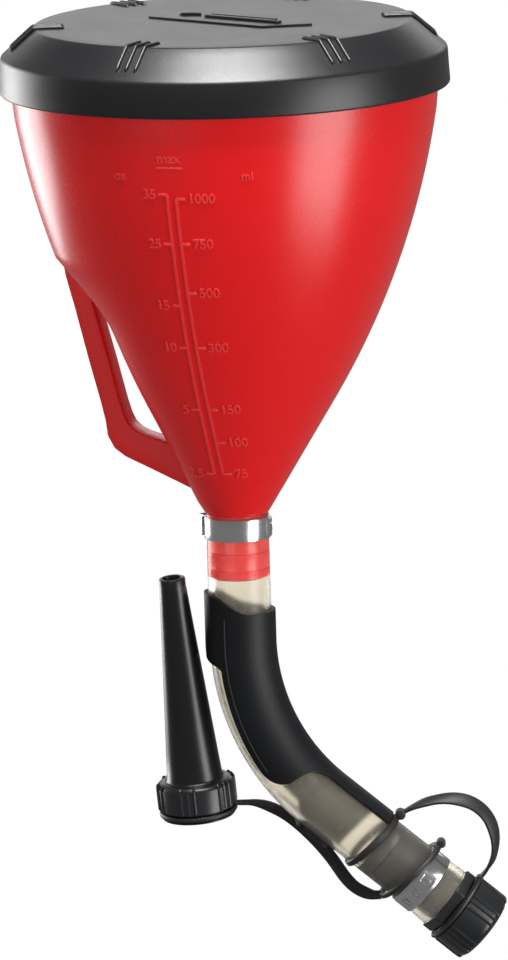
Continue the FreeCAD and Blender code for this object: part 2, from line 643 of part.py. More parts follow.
def make_lid():
    """Push-on lid: flat disc, bevel, outside skirt and an inside wall that plugs the bowl's mouth."""
    groove_z = RIM_Z + BODY_GAP
    skirt_in = RIM_R + BODY_GAP + 0.3
    plug_out = bowl_radius(RIM_Z) - WALL - BODY_GAP
    plug_in = plug_out - LID_PLUG_WALL
    plug_low = groove_z - LID_PLUG_DEPTH
    under = LID_DISC_Z - LID_WALL
    outline = [(skirt_in + 0.5, LID_SKIRT_Z), (LID_R - 0.6, LID_SKIRT_Z), (LID_R, LID_SKIRT_Z + 0.6),
               (LID_SKIRT_TOP_R, LID_BEVEL_Z), (LID_DISC_R, LID_DISC_Z), (0, LID_DISC_Z), (0, under),
               (LID_DISC_R - 0.9, under), (plug_in, LID_BEVEL_Z + 2.3), (plug_in, plug_low),
               (plug_out, plug_low), (plug_out, groove_z), (skirt_in, groove_z)]
    lid = revolve(outline)
    foot_r = LID_DISC_R + LID_RIB_FOOT * (LID_SKIRT_TOP_R - LID_DISC_R)
    foot_z = LID_DISC_Z - LID_RIB_FOOT * (LID_DISC_Z - LID_BEVEL_Z)
    crest = LID_DISC_Z + LID_RIB_RISE
    root = LID_DISC_Z - 0.6
    rib_line = [(LID_DISC_R - LID_RIB_REACH, root), (LID_DISC_R - LID_RIB_REACH, crest),
                (LID_DISC_R + 0.4, crest), (foot_r + 0.9, foot_z + 0.9), (foot_r - 0.5, foot_z - 0.4),
                (LID_DISC_R - 0.4, root)]
    points = [Vector(r, -LID_RIB_WIDTH / 2, z) for r, z in rib_line]
    blank = Part.Face(Part.makePolygon(points + [points[0]])).extrude(Vector(0, LID_RIB_WIDTH, 0))
    for group in range(RIB_GROUPS):
        for k in range(RIBS_IN_GROUP):
            rib = blank.copy()
            rib.translate(Vector(0, (k - 1) * LID_RIB_PITCH, 0))
            rib.rotate(Vector(0, 0, 0), Z_AXIS, LID_RIB_FIRST_DEG + 60 * group)
            lid = lid.fuse(rib)
    return lid


def main():
    os.makedirs("parts", exist_ok=True)
    outer = bowl_form(0, 0)
    bowl = make_bowl(outer)
    fitting = make_fitting()
    save("bowl", bowl)
    save("handle", make_handle(outer))
    save("hose", make_hose(bowl, fitting))
    save("end_fitting", fitting)
    upper = make_clamp()
    upper.Placement = Placement(Vector(0, 0, CLAMP_A_Z), Rotation(Z_AXIS, CLAMP_A_DEG))
    save("upper_clamp", upper)
    lower = make_clamp()
    lower.Placement = Placement(Vector(0, 0, CLAMP_B), Rotation(Z_AXIS, CLAMP_B_DEG))
    save("lower_clamp", at_outlet(lower))
    save("bend_guide", make_guide())
    ring_solid, strap, collar = make_cap_tether()
    save("cap_tether_ring", ring_solid)
    save("cap_tether_strap", strap)
    save("cap_tether_collar", collar)
    save("end_cap", make_cap())
    save("cap_seal", make_cap_seal())
    save("nozzle_tether", make_nozzle_tether())
    save("nozzle", make_nozzle())
    save("nozzle_seal", make_nozzle_seal())
    save("lid", make_lid())


main()
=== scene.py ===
import bmesh
import bpy
import math
from mathutils import Matrix, Vector


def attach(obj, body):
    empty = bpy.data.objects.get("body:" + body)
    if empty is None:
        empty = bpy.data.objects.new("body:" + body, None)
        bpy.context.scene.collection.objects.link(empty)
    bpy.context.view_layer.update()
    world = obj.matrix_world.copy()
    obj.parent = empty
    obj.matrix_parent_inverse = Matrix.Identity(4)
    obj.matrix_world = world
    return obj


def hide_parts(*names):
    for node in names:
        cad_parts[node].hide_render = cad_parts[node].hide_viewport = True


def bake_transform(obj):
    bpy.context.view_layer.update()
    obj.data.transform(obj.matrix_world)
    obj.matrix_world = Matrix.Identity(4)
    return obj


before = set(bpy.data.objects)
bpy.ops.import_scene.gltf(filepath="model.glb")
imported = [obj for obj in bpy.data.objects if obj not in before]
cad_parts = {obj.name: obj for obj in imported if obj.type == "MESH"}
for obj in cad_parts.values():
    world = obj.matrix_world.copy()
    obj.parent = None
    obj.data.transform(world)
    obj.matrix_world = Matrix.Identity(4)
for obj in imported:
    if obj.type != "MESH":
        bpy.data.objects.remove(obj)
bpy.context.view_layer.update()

MM = 0.001

# bowl
NECK_R = 12.0 * MM
CONE_TOP_R = 37.1 * MM
CONE_TOP_Z = 40.9 * MM
FLARE_R = 297 * MM
FLARE_TOP_Z = 148 * MM
MOUTH_TAPER = 0.105
MOUTH_Z = 161 * MM
RIM_Z = 167.5 * MM
RIM_R = 79.6 * MM
WALL = 1.8 * MM
RECESS_TOP_Z = 97 * MM
RECESS_FLOOR_Z = 4 * MM
RECESS_RISE = 0.2
RECESS_FALL = 0.62
RECESS_SOFT = 3.5 * MM
RECESS_HALF_DEG = 75
HANDLE_DEG = 164
SCALE_DEG = 254

BORE_R = 7.7 * MM
LID_TOP = 181 * MM

# hose path
HOSE_R = 11.5 * MM
HOSE_BORE_R = 9.5 * MM
TAIL_R = 9.65 * MM
BEND_TOP = 48 * MM
BEND_R = 82 * MM
BEND_DEG = 49.5
BEND_LENGTH = BEND_R * math.radians(BEND_DEG)
OUTLET = BEND_TOP + BEND_LENGTH
RING_A = 22.9 * MM
RING_B = 41.0 * MM
CLAMP_B = 46.3 * MM
TAIL_START = 24.4 * MM
HOSE_END = 57.6 * MM
HEX_LENGTH = 4.1 * MM
HEX_ACROSS = 23 * MM
SPIGOT_R = 10.4 * MM
THREAD_R = 11.3 * MM
THREAD_PITCH = 3 * MM
THREAD_TURNS = 3.4
THREAD_END = 74.5 * MM
CAP_START = 61.95 * MM
CAP_END = 77.2 * MM
CAP_R = 13.75 * MM
CAP_BORE_R = 11.55 * MM
CAP_NECK_R = 12.7 * MM
COLLAR_R = 14.4 * MM
COLLAR_BORE_R = 13.05 * MM
LOOSE_RING_R = 13.9 * MM
LOOSE_RING_TILT_DEG = 10
GUIDE_START = 36 * MM
GUIDE_FRONT_DEG = 39
GUIDE_WALL = 1.6 * MM
NOZZLE_R = 14.3 * MM
NOZZLE_SHOULDER = 14 * MM
NOZZLE_LENGTH = 91.4 * MM
CLAMP_PLATE_R = 12.15 * MM


# ---------------------------------------------------------------- modelling helpers

def deselect():
    if bpy.context.mode != "OBJECT":
        bpy.ops.object.mode_set(mode="OBJECT")
    bpy.ops.object.select_all(action="DESELECT")


def activate(*pieces):
    deselect()
    for piece in pieces:
        piece.select_set(True)
    bpy.context.view_layer.objects.active = pieces[0]


def apply_place(piece):
    activate(piece)
    bpy.ops.object.transform_apply(location=True, rotation=True, scale=True)


def profile(level, *points):
    """Outline points from (radius, height above the level) pairs in millimetres."""
    return [(r * MM, level + z * MM) for r, z in points]


def lathe(name, outline, segments=128):
    """Turns an outline of (radius, height) points round Z. A closed outline ends where it starts."""
    deselect()
    first_r, first_z = outline[0]
    bpy.ops.mesh.primitive_circle_add(vertices=segments, radius=max(first_r, 1e-6), location=(0, 0, first_z))
    piece = bpy.context.object
    piece.name = name
    apply_place(piece)
    bpy.ops.object.mode_set(mode="EDIT")
    bpy.ops.mesh.select_all(action="SELECT")
    last_r, last_z = max(first_r, 1e-6), first_z
    for r, z in outline[1:]:
        r = max(r, 1e-6)
        bpy.ops.mesh.extrude_region_move(TRANSFORM_OT_translate={"value": (0, 0, z - last_z)})
        bpy.ops.transform.resize(value=(r / last_r, r / last_r, 1), center_override=(0, 0, z))
        last_r, last_z = r, z
    bpy.ops.mesh.select_all(action="SELECT")
    bpy.ops.mesh.remove_doubles(threshold=4e-6)
    bpy.ops.mesh.normals_make_consistent(inside=False)
    deselect()
    return piece


def moved_by(piece, change):
    """Puts every vertex where change(point) says."""
    for v in piece.data.vertices:
        v.co = change(v.co.copy())
    piece.data.update()


def transform(piece, matrix):
    piece.data.transform(matrix)
    piece.data.update()


def recalculate(piece):
    activate(piece)
    bpy.ops.object.mode_set(mode="EDIT")
    bpy.ops.mesh.select_all(action="SELECT")
    bpy.ops.mesh.remove_doubles(threshold=2e-6)
    bpy.ops.mesh.normals_make_consistent(inside=False)
    deselect()


def bevel(piece, width, segments=2, angle=32):
    """Rounds the sharp edges and applies the modifier."""
    activate(piece)
    modifier = piece.modifiers.new("edges", "BEVEL")
    modifier.width = width
    modifier.segments = segments
    modifier.limit_method = "ANGLE"
    modifier.angle_limit = math.radians(angle)
    modifier.use_clamp_overlap = True
    bpy.ops.object.modifier_apply(modifier=modifier.name)


def smooth(piece, angle=40):
    activate(piece)
    bpy.ops.object.shade_smooth_by_angle(angle=math.radians(angle))


def join(name, pieces):
    activate(*pieces)
    if len(pieces) > 1:
        bpy.ops.object.join()
    joined = bpy.context.view_layer.objects.active
    joined.name = name
    joined.data.name = name
    return joined


def bar(points, width, depth, up=(0, 0, 1)):
    """Strip of box section along a line of points, made from a cube by extruding its end face."""
    deselect()
    bpy.ops.mesh.primitive_cube_add(size=1)
    piece = bpy.context.object
    mesh = bmesh.new()
    mesh.from_mesh(piece.data)
    end_face = max(mesh.faces, key=lambda f: f.calc_center_median().x)
    start_face = min(mesh.faces, key=lambda f: f.calc_center_median().x)
    count = len(points)
    up = Vector(up)

    def corner(i, across, over):
        before = points[max(i - 1, 0)]
        after = points[min(i + 1, count - 1)]
        along = (Vector(after) - Vector(before)).normalized()
        side = along.cross(up).normalized()
        rise = side.cross(along)
        return Vector(points[i]) + side * (across * width) + rise * (over * depth)

    def settle(face, i):
        for v in face.verts:
            v.co = corner(i, across[v], over[v])

    across = {v: -v.co.y for v in mesh.verts}
    over = {v: v.co.z for v in mesh.verts}
    settle(start_face, 0)
    settle(end_face, 1)
    face = end_face
    for i in range(2, count):
        ring = [(across[v], over[v]) for v in face.verts]
        grown = bmesh.ops.extrude_discrete_faces(mesh, faces=[face])["faces"][0]
        for v, (a, o) in zip(grown.verts, ring):
            across[v] = a
            over[v] = o
        face = grown
        settle(face, i)
    mesh.to_mesh(piece.data)
    mesh.free()
    return piece


def tube(name, points, radius, resolution):
    """Round rod with flat ends along a smooth line of points."""
    deselect()
    bpy.ops.curve.primitive_nurbs_path_add()
    piece = bpy.context.object
    piece.name = name
    curve = piece.data
    curve.splines.clear()
    spline = curve.splines.new("NURBS")
    spline.points.add(len(points) - 1)
    for knot, point in zip(spline.points, points):
        knot.co = (*point, 1)
    spline.order_u = 3
    spline.use_endpoint_u = True
    spline.resolution_u = 8
    curve.dimensions = "3D"
    curve.bevel_depth = radius
    curve.bevel_resolution = resolution
    curve.use_fill_caps = True
    apply_curve(piece)
    return piece


def swept(name, rings):
    """Solid through a row of closed rings of points: a disc extruded ring by ring, then laid on them."""
    count = len(rings[0])
    deselect()
    bpy.ops.mesh.primitive_circle_add(vertices=count, radius=MM, fill_type="NGON")
    piece = bpy.context.object
    piece.name = name
    activate(piece)
    bpy.ops.object.mode_set(mode="EDIT")
    bpy.ops.mesh.select_all(action="SELECT")
    for _ in rings[1:]:
        bpy.ops.mesh.extrude_region_move(TRANSFORM_OT_translate={"value": (0, 0, MM)})
    bpy.ops.object.mode_set(mode="OBJECT")
    for v in piece.data.vertices:
        ring, step = divmod(v.index, count)
        v.co = rings[ring][step]
    recalculate(piece)
    return piece


def smooth_line(points, per_run=6):
    """Points of a quadratic B-spline that has the given points as its corners."""
    middles = [(a + b) / 2 for a, b in zip(points, points[1:])]
    line = [points[0]]
    for before, corner, after in zip(middles, points[1:-1], middles[1:]):
        for i in range(per_run):
            t = i / per_run
            line.append(before * (1 - t) ** 2 + corner * 2 * t * (1 - t) + after * t * t)
    return line + [middles[-1], points[-1]]


def strap(name, corners, widths, thickness, across, twists):
    """Soft flat strap along a smooth line. The twist turns its width away from the direction across."""
    line = smooth_line([Vector(c) for c in corners])
    rings = []
    last = len(line) - 1
    for i, place in enumerate(line):
        along = (line[min(i + 1, last)] - line[max(i - 1, 0)]).normalized()
        share = i / last * (len(widths) - 1)
        k = min(int(share), len(widths) - 2)
        width = ease(widths[k], widths[k + 1], share - k) / 2
        twist = math.radians(ease(twists[k], twists[k + 1], share - k))
        side = (across - along * across.dot(along)).normalized()
        over = along.cross(side)
        wide = side * math.cos(twist) + over * math.sin(twist)
        thick = over * math.cos(twist) - side * math.sin(twist)
        half = thickness / 2
        flat = width - half * 0.6
        shoulder = width - half * 0.12
        section = [(flat, half), (shoulder, 0.7 * half), (width, 0), (shoulder, -0.7 * half),
                   (flat, -half), (-flat, -half), (-shoulder, -0.7 * half), (-width, 0),
                   (-shoulder, 0.7 * half), (-flat, half)]
        rings.append([place + wide * a + thick * b for a, b in section])
    return swept(name, rings)


def ease(a, b, t):
    t = min(max(t, 0), 1)
    t = t * t * (3 - 2 * t)
    return a + (b - a) * t


def apply_curve(piece):
    activate(piece)
    bpy.ops.object.convert(target="MESH")
    apply_place(bpy.context.object)


# ---------------------------------------------------------------- places

def along_hose(station):
    """Frame on the hose's axis: local Z runs with the flow, local X points to the outside of the bend."""
    if station <= BEND_TOP:
        return Matrix.Translation((0, 0, -station)) @ Matrix.Rotation(math.pi, 4, "Y")
    turn = min((station - BEND_TOP) / BEND_R, math.radians(BEND_DEG))
    place = Vector((BEND_R * (1 - math.cos(turn)), 0, -BEND_TOP - BEND_R * math.sin(turn)))
    rest = max(station - OUTLET, 0)
    place += rest * Vector((math.sin(turn), 0, -math.cos(turn)))
    return Matrix.Translation(place) @ Matrix.Rotation(math.pi - turn, 4, "Y")


def wrap_on_hose(radius, azimuth, station):
    """Point beside the hose: azimuth 0 is the inside of the bend and 90 is the rear."""
    a = math.radians(azimuth)
    return along_hose(station) @ Vector((-radius * math.cos(a), radius * math.sin(a), 0))


def bowl_radius(z):
    slope = (CONE_TOP_R - NECK_R) / CONE_TOP_Z
    if z <= CONE_TOP_Z:
        return NECK_R + slope * z
    if z > FLARE_TOP_Z:
        return bowl_radius(FLARE_TOP_Z) + MOUTH_TAPER * (min(z, MOUTH_Z) - FLARE_TOP_Z)
    angle = math.atan(slope)
    centre_r = CONE_TOP_R - FLARE_R * math.cos(angle)
    centre_z = CONE_TOP_Z + FLARE_R * math.sin(angle)
    return centre_r + math.sqrt(FLARE_R ** 2 - (centre_z - z) ** 2)


def recess_depth(z):
    rise = RECESS_RISE * (z - RECESS_FLOOR_Z)
    fall = RECESS_FALL * (RECESS_TOP_Z - z)
    return max(0.5 * (rise + fall - math.sqrt((rise - fall) ** 2 + RECESS_SOFT ** 2)), 0)


def recess_share(azimuth):
    off = (azimuth - HANDLE_DEG + 180) % 360 - 180
    return math.cos(math.radians(90 * off / RECESS_HALF_DEG)) ** 2 if abs(off) < RECESS_HALF_DEG else 0


def bowl_slope(z):
    return math.atan((bowl_radius(z + MM) - bowl_radius(z - MM)) / (2 * MM))


# ---------------------------------------------------------------- shared shader effects

def new_group(name, inputs, outputs):
    group = bpy.data.node_groups.new(name, "ShaderNodeTree")
    for label, kind, value in inputs:
        socket = group.interface.new_socket(name=label, in_out="INPUT", socket_type=kind)
        socket.default_value = value
    for label, kind in outputs:
        group.interface.new_socket(name=label, in_out="OUTPUT", socket_type=kind)
    nodes = group.nodes
    return group, nodes, group.links, nodes.new("NodeGroupInput"), nodes.new("NodeGroupOutput")


def moulded_grain():
    """Fine spark-eroded grain of a moulded plastic: height for a bump and a broken roughness."""
    group, nodes, links, given, out = new_group(
        "moulded_grain",
        [("Size", "NodeSocketFloat", 2500.0), ("Roughness", "NodeSocketFloat", 0.5),
         ("Spread", "NodeSocketFloat", 0.08)],
        [("Height", "NodeSocketFloat"), ("Roughness", "NodeSocketFloat")])
    place = nodes.new("ShaderNodeTexCoord")
    fine = nodes.new("ShaderNodeTexNoise")
    fine.inputs["Detail"].default_value = 4
    fine.inputs["Roughness"].default_value = 0.6
    links.new(place.outputs["Object"], fine.inputs["Vector"])
    links.new(given.outputs["Size"], fine.inputs["Scale"])
    broad = nodes.new("ShaderNodeTexNoise")
    broad.inputs["Scale"].default_value = 60
    broad.inputs["Detail"].default_value = 3
    links.new(place.outputs["Object"], broad.inputs["Vector"])
    both = nodes.new("ShaderNodeMath")
    both.operation = "ADD"
    links.new(fine.outputs["Fac"], both.inputs[0])
    links.new(broad.outputs["Fac"], both.inputs[1])
    centred = nodes.new("ShaderNodeMath")
    centred.operation = "SUBTRACT"
    links.new(both.outputs[0], centred.inputs[0])
    centred.inputs[1].default_value = 1.0
    scaled = nodes.new("ShaderNodeMath")
    scaled.operation = "MULTIPLY_ADD"
    links.new(centred.outputs[0], scaled.inputs[0])
    links.new(given.outputs["Spread"], scaled.inputs[1])
    links.new(given.outputs["Roughness"], scaled.inputs[2])
    links.new(fine.outputs["Fac"], out.inputs["Height"])
    links.new(scaled.outputs[0], out.inputs["Roughness"])
    return group


def painted_edge_highlight():
    """Painted highlight: colour that lightens a little towards the edge colour on convex edges, where light
    catches them; elsewhere it keeps the base colour.
    """
    group, nodes, links, given, out = new_group(
        "painted_edge_highlight",
        [("Colour", "NodeSocketColor", (0.5, 0.5, 0.5, 1)), ("Highlight", "NodeSocketColor", (0.6, 0.6, 0.6, 1)),
         ("Amount", "NodeSocketFloat", 0.5)],
        [("Colour", "NodeSocketColor")])
    shape = nodes.new("ShaderNodeNewGeometry")
    # Convex edges, found by pointiness, get the lighter colour: painted highlight.
    ramp = nodes.new("ShaderNodeMapRange")
    ramp.inputs["From Min"].default_value = 0.5
    ramp.inputs["From Max"].default_value = 0.62
    links.new(shape.outputs["Pointiness"], ramp.inputs["Value"])
    amount = nodes.new("ShaderNodeMath")
    amount.operation = "MULTIPLY"
    links.new(ramp.outputs["Result"], amount.inputs[0])
    links.new(given.outputs["Amount"], amount.inputs[1])
    mix = nodes.new("ShaderNodeMix")
    mix.data_type = "RGBA"
    links.new(amount.outputs[0], mix.inputs["Factor"])
    links.new(given.outputs["Colour"], mix.inputs["A"])
    links.new(given.outputs["Highlight"], mix.inputs["B"])
    links.new(mix.outputs["Result"], out.inputs["Colour"])
    return group


GRAIN = moulded_grain()
EDGE_HIGHLIGHT = painted_edge_highlight()


def plastic(name, colour, edge, roughness, grain_size, bump, spread=0.06, highlight_amount=0.5, settings=()):
    """Moulded plastic or rubber: coloured base, grain in bump and gloss, and a painted highlight on convex
    edges.
    """
    material = bpy.data.materials.new(name)
    material.use_nodes = True
    nodes, links = material.node_tree.nodes, material.node_tree.links
    shader = nodes["Principled BSDF"]
    grain = nodes.new("ShaderNodeGroup")
    grain.node_tree = GRAIN
    grain.inputs["Size"].default_value = grain_size
    grain.inputs["Roughness"].default_value = roughness
    grain.inputs["Spread"].default_value = spread
    # Lighter edge colour mixed in on convex edges: painted highlight.
    highlight_tint = nodes.new("ShaderNodeGroup")
    highlight_tint.node_tree = EDGE_HIGHLIGHT
    highlight_tint.inputs["Colour"].default_value = (*colour, 1)
    highlight_tint.inputs["Highlight"].default_value = (*edge, 1)
    highlight_tint.inputs["Amount"].default_value = highlight_amount
    height = nodes.new("ShaderNodeBump")
    height.inputs["Strength"].default_value = bump
    height.inputs["Distance"].default_value = 0.0002
    links.new(grain.outputs["Height"], height.inputs["Height"])
    links.new(height.outputs["Normal"], shader.inputs["Normal"])
    links.new(grain.outputs["Roughness"], shader.inputs["Roughness"])
    links.new(highlight_tint.outputs["Colour"], shader.inputs["Base Color"])
    for socket, value in settings:
        shader.inputs[socket].default_value = value
    return material


# Each plastic's second colour is the painted highlight that its convex edges lighten to.
RED = plastic("red_plastic", (0.74, 0.006, 0.008), (0.82, 0.02, 0.02),
              0.27, 900, 0.04, 0.04, 0.4, [("IOR", 1.5)])
# The scale's relief gets a lighter red than the bowl: painted highlight where the raised strokes catch
# light; its higher roughness is real.
RED_RELIEF_PAINTED_HIGHLIGHT = plastic("red_relief_painted_highlight", (0.80, 0.03, 0.032), (0.88, 0.08, 0.08),
                     0.38, 900, 0.05, 0.04, 0.6, [("IOR", 1.5)])
LID_BLACK = plastic("lid_plastic", (0.006, 0.006, 0.007), (0.03, 0.03, 0.032), 0.34, 2600, 0.3, 0.08, 0.35)
GUIDE_BLACK = plastic("guide_plastic", (0.004, 0.0045, 0.0055), (0.02, 0.02, 0.023),
                      0.5, 2600, 0.3, 0.08, 0.4, [("Specular IOR Level", 0.3)])
CAP_BLACK = plastic("cap_plastic", (0.005, 0.0055, 0.0065), (0.04, 0.042, 0.045), 0.3, 1800, 0.14, 0.06, 0.5)
FITTING_BLACK = plastic("fitting_plastic", (0.009, 0.008, 0.0085), (0.04, 0.038, 0.038),
                        0.4, 1800, 0.15, 0.06, 0.5)
TETHER_BLACK = plastic("tether_rubber", (0.010, 0.008, 0.0085), (0.03, 0.027, 0.027),
                       0.5, 2200, 0.2, 0.08, 0.4)
SEAL_BLACK = plastic("seal_rubber", (0.01, 0.01, 0.01), (0.03, 0.03, 0.03), 0.65, 2600, 0.2)
HOSE_CLEAR = plastic("clear_hose", (0.88, 0.83, 0.73), (0.92, 0.88, 0.8), 0.26, 400, 0.05, 0.05, 0.2,
                     [("Transmission Weight", 0.95), ("IOR", 1.25)])


def steel(name):
    """Rolled stainless strip: fine lengthwise lines and small changes of gloss."""
    material = bpy.data.materials.new(name)
    material.use_nodes = True
    nodes, links = material.node_tree.nodes, material.node_tree.links
    shader = nodes["Principled BSDF"]
    shader.inputs["Metallic"].default_value = 1.0
    shader.inputs["Base Color"].default_value = (0.78, 0.78, 0.79, 1)
    grain = nodes.new("ShaderNodeGroup")
    grain.node_tree = GRAIN
    grain.inputs["Size"].default_value = 1500
    grain.inputs["Roughness"].default_value = 0.22
    grain.inputs["Spread"].default_value = 0.12
    height = nodes.new("ShaderNodeBump")
    height.inputs["Strength"].default_value = 0.08
    height.inputs["Distance"].default_value = 0.0002
    links.new(grain.outputs["Height"], height.inputs["Height"])
    links.new(height.outputs["Normal"], shader.inputs["Normal"])
    links.new(grain.outputs["Roughness"], shader.inputs["Roughness"])
    return material


STEEL = steel("clamp_steel")


def done(piece, body, material, slot, *nodes):
    """Gives a finished piece its material and its body, and hides the nodes it stands for; the slot is not
    used.
    """
    piece.data.materials.clear()
    piece.data.materials.append(material)
    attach(piece, body)
    if nodes:
        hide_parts(*nodes)


# ---------------------------------------------------------------- bowl and handle

def make_bowl():
    heights = [0.5, 2, 4, 7]
    heights += [10 + 4 * i for i in range(12)]
    heights += [56 + 2.4 * i for i in range(21)]
    heights += [108 + 5 * i for i in range(10)]
    heights += [157, 161, 164.6]
    outline = [(NECK_R, 0)]
    outline += [(bowl_radius(z * MM), z * MM) for z in heights]
    outline += [(RIM_R - 0.5 * MM, RIM_Z - 2.6 * MM), (RIM_R, RIM_Z - 2 * MM), (RIM_R, RIM_Z - 1 * MM),
                (RIM_R - 0.5 * MM, RIM_Z - 0.3 * MM), (bowl_radius(RIM_Z) - 0.3 * MM, RIM_Z)]
    outline += [(bowl_radius(RIM_Z) - WALL + 0.4 * MM, RIM_Z), (bowl_radius(RIM_Z) - WALL, RIM_Z - 0.5 * MM)]
    for z in reversed(heights[2:]):
        outline.append((bowl_radius(z * MM) - WALL / math.cos(bowl_slope(z * MM)), z * MM))
    outline += [(BORE_R, -1.5 * MM), (BORE_R, -24.6 * MM)]
    outline += profile(0, (8.1, -25), (8.9, -25)) + [(TAIL_R, -24.4 * MM)]
    for z in (-22.7 * MM, -16.4 * MM):
        outline += [(TAIL_R, z - 1.2 * MM)] + profile(z, (10.1, 0.6), (10.2, 0.9), (10.1, 1.2))
        outline += [(TAIL_R, z + 1.4 * MM)]
    outline += [(TAIL_R, -0.6 * MM)] + profile(0, (11.4, -0.6), (11.7, -0.3), (11.7, 0)) + [(NECK_R, 0)]
    bowl = lathe("bowl", outline, 192)

    def scoop(p):
        r = math.hypot(p.x, p.y)
        if p.z < RECESS_FLOOR_Z or r < 1e-5:
            return p
        depth = recess_depth(p.z) * recess_share(math.degrees(math.atan2(p.y, p.x)))
        return Vector((p.x * (r - depth) / r, p.y * (r - depth) / r, p.z))

    moved_by(bowl, scoop)
    smooth(bowl, 50)
    return bowl


def on_bowl(p):
    """Lays a flat point (across, outwards, height) on the bowl round the scale's meridian."""
    r = bowl_radius(p.z)
    tilt = bowl_slope(p.z)
    azimuth = math.radians(SCALE_DEG) + p.x / r
    r += p.y * math.cos(tilt)
    return Vector((r * math.cos(azimuth), r * math.sin(azimuth), p.z - p.y * math.sin(tilt)))


def flat_text(words, across, height, size, align):
    deselect()
    bpy.ops.object.text_add()
    text = bpy.context.object
    text.data.body = words
    text.data.size = size
    text.data.align_x = align
    text.data.align_y = "CENTER"
    text.data.extrude = 0.3 * MM
    text.data.bevel_depth = 0.07 * MM
    text.data.offset = 0.02 * MM
    bpy.ops.object.convert(target="MESH")
    text = bpy.context.object
    turn = Matrix.Rotation(math.radians(90), 4, "X")
    transform(text, Matrix.Translation((across, 0, height)) @ Matrix.Diagonal((1, -1, 1, 1)) @ turn)
    return text


def flat_bar(x0, x1, z0, z1):
    deselect()
    bpy.ops.mesh.primitive_cube_add(size=1)
    piece = bpy.context.object
    piece.scale = (x1 - x0, 0.7 * MM, z1 - z0)
    piece.location = ((x0 + x1) / 2, 0, (z0 + z1) / 2)
    apply_place(piece)
    activate(piece)
    bpy.ops.object.mode_set(mode="EDIT")
    bpy.ops.mesh.select_all(action="SELECT")
    long_side = max(x1 - x0, z1 - z0)
    if long_side > 12 * MM:
        bpy.ops.mesh.subdivide(number_cuts=10)
    deselect()
    bevel(piece, 0.2 * MM, 2)
    return piece


def make_scale():
    """Raised graduation: two upright lines, ticks and numerals for two units."""
    half_gap = 1.65 * MM
    line = 0.5 * MM
    tick = 3.3 * MM
    margin = 0.9 * MM
    low, high = 17.7 * MM, 128.5 * MM
    runs = 6
    parts = []
    for i in range(runs):
        z0 = low + (high - low) * i / runs
        z1 = low + (high - low) * (i + 1) / runs + 0.02 * MM
        parts.append(flat_bar(-half_gap - line, -half_gap + line, z0, z1))
        parts.append(flat_bar(half_gap - line, half_gap + line, z0, min(z1, 127 * MM)))
    left = ((128.5, "35"), (109.7, "25"), (85.9, "15"), (69.3, "10"), (44.3, "5"), (17.7, "2.5"))
    right = ((126.9, "1000"), (109.7, "750"), (90.8, "500"), (69.3, "300"), (44.3, "150"), (30.6, "100"),
             (17.7, "75"))
    for z, words in left:
        parts.append(flat_bar(-half_gap - tick, -half_gap, (z - 0.5) * MM, (z + 0.5) * MM))
        parts.append(flat_text(words, -half_gap - tick - margin, z * MM, 5.0 * MM, "RIGHT"))
    for z, words in right:
        parts.append(flat_bar(half_gap, half_gap + tick, (z - 0.5) * MM, (z + 0.5) * MM))
        parts.append(flat_text(words, half_gap + tick + margin, z * MM, 5.0 * MM, "LEFT"))
    parts.append(flat_text("max", 0, 142 * MM, 5.2 * MM, "CENTER"))
    parts.append(flat_bar(-5 * MM, 5 * MM, 138.1 * MM, 138.9 * MM))
    parts.append(flat_text("oz", -19.5 * MM, 135 * MM, 4.6 * MM, "CENTER"))
    parts.append(flat_text("ml", 28 * MM, 135 * MM, 4.6 * MM, "CENTER"))
    scale = join("scale_relief", parts)
    moved_by(scale, on_bowl)
    recalculate(scale)
    smooth(scale, 30)
    return scale


def make_handle():
    """Finger handle: a bar bent at its lower corner, with a pocket sunk in each side."""
    pairs = [((63.2, 97.0), (49.6, 81.6)), ((61.5, 87.0), (51.6, 77.5)), ((58.3, 75.0), (49.9, 71.5)),
             ((53.9, 57.0), (45.8, 56.0)), ((49.7, 41.0), (41.8, 40.0)), ((47.9, 33.2), (40.3, 35.2)),
             ((47.2, 27.6), (38.8, 32.0)), ((44.7, 23.0), (36.3, 29.7)), ((40.6, 20.0), (33.3, 28.3)),
             ((30.0, 15.2), (28.4, 26.8)), ((15.8, 8.6), (22.4, 24.9))]
    half = 5.3 * MM
    flange = 2.1 * MM
    pocket = 3.6 * MM
    deselect()
    bpy.ops.mesh.primitive_cube_add(size=1)
    handle = bpy.context.object
    handle.name = "handle"
    mesh = bmesh.new()
    mesh.from_mesh(handle.data)
    start = max(mesh.faces, key=lambda f: f.calc_center_median().z)
    end = min(mesh.faces, key=lambda f: f.calc_center_median().z)
    kind = {v: (v.co.x > 0, 1 if v.co.y > 0 else -1) for v in mesh.verts}

    def settle(face, pair):
        for v in face.verts:
            outside, side = kind[v]
            r, z = pair[0] if outside else pair[1]
            v.co = Vector((r * MM, side * half, z * MM))

    settle(start, pairs[0])
    settle(end, pairs[1])
    for pair in pairs[2:]:
        corners = [kind[v] for v in end.verts]
        end = bmesh.ops.extrude_discrete_faces(mesh, faces=[end])["faces"][0]
        for v, corner in zip(end.verts, corners):
            kind[v] = corner
        settle(end, pair)
    mesh.to_mesh(handle.data)
    mesh.free()
    recalculate(handle)
    activate(handle)
    bpy.ops.object.mode_set(mode="EDIT")
    mesh = bmesh.from_edit_mesh(handle.data)
    for side in (-1, 1):
        bpy.ops.mesh.select_all(action="DESELECT")
        for f in mesh.faces:
            f.select = f.normal.y * side > 0.9
        bmesh.update_edit_mesh(handle.data)
        bpy.ops.mesh.inset(thickness=flange)
        bpy.ops.transform.translate(value=(0, -side * pocket, 0))
        mesh = bmesh.from_edit_mesh(handle.data)
    deselect()
    bevel(handle, 0.6 * MM, 3)
    transform(handle, Matrix.Rotation(math.radians(HANDLE_DEG), 4, "Z"))
    smooth(handle, 45)
    return handle


# ---------------------------------------------------------------- lid

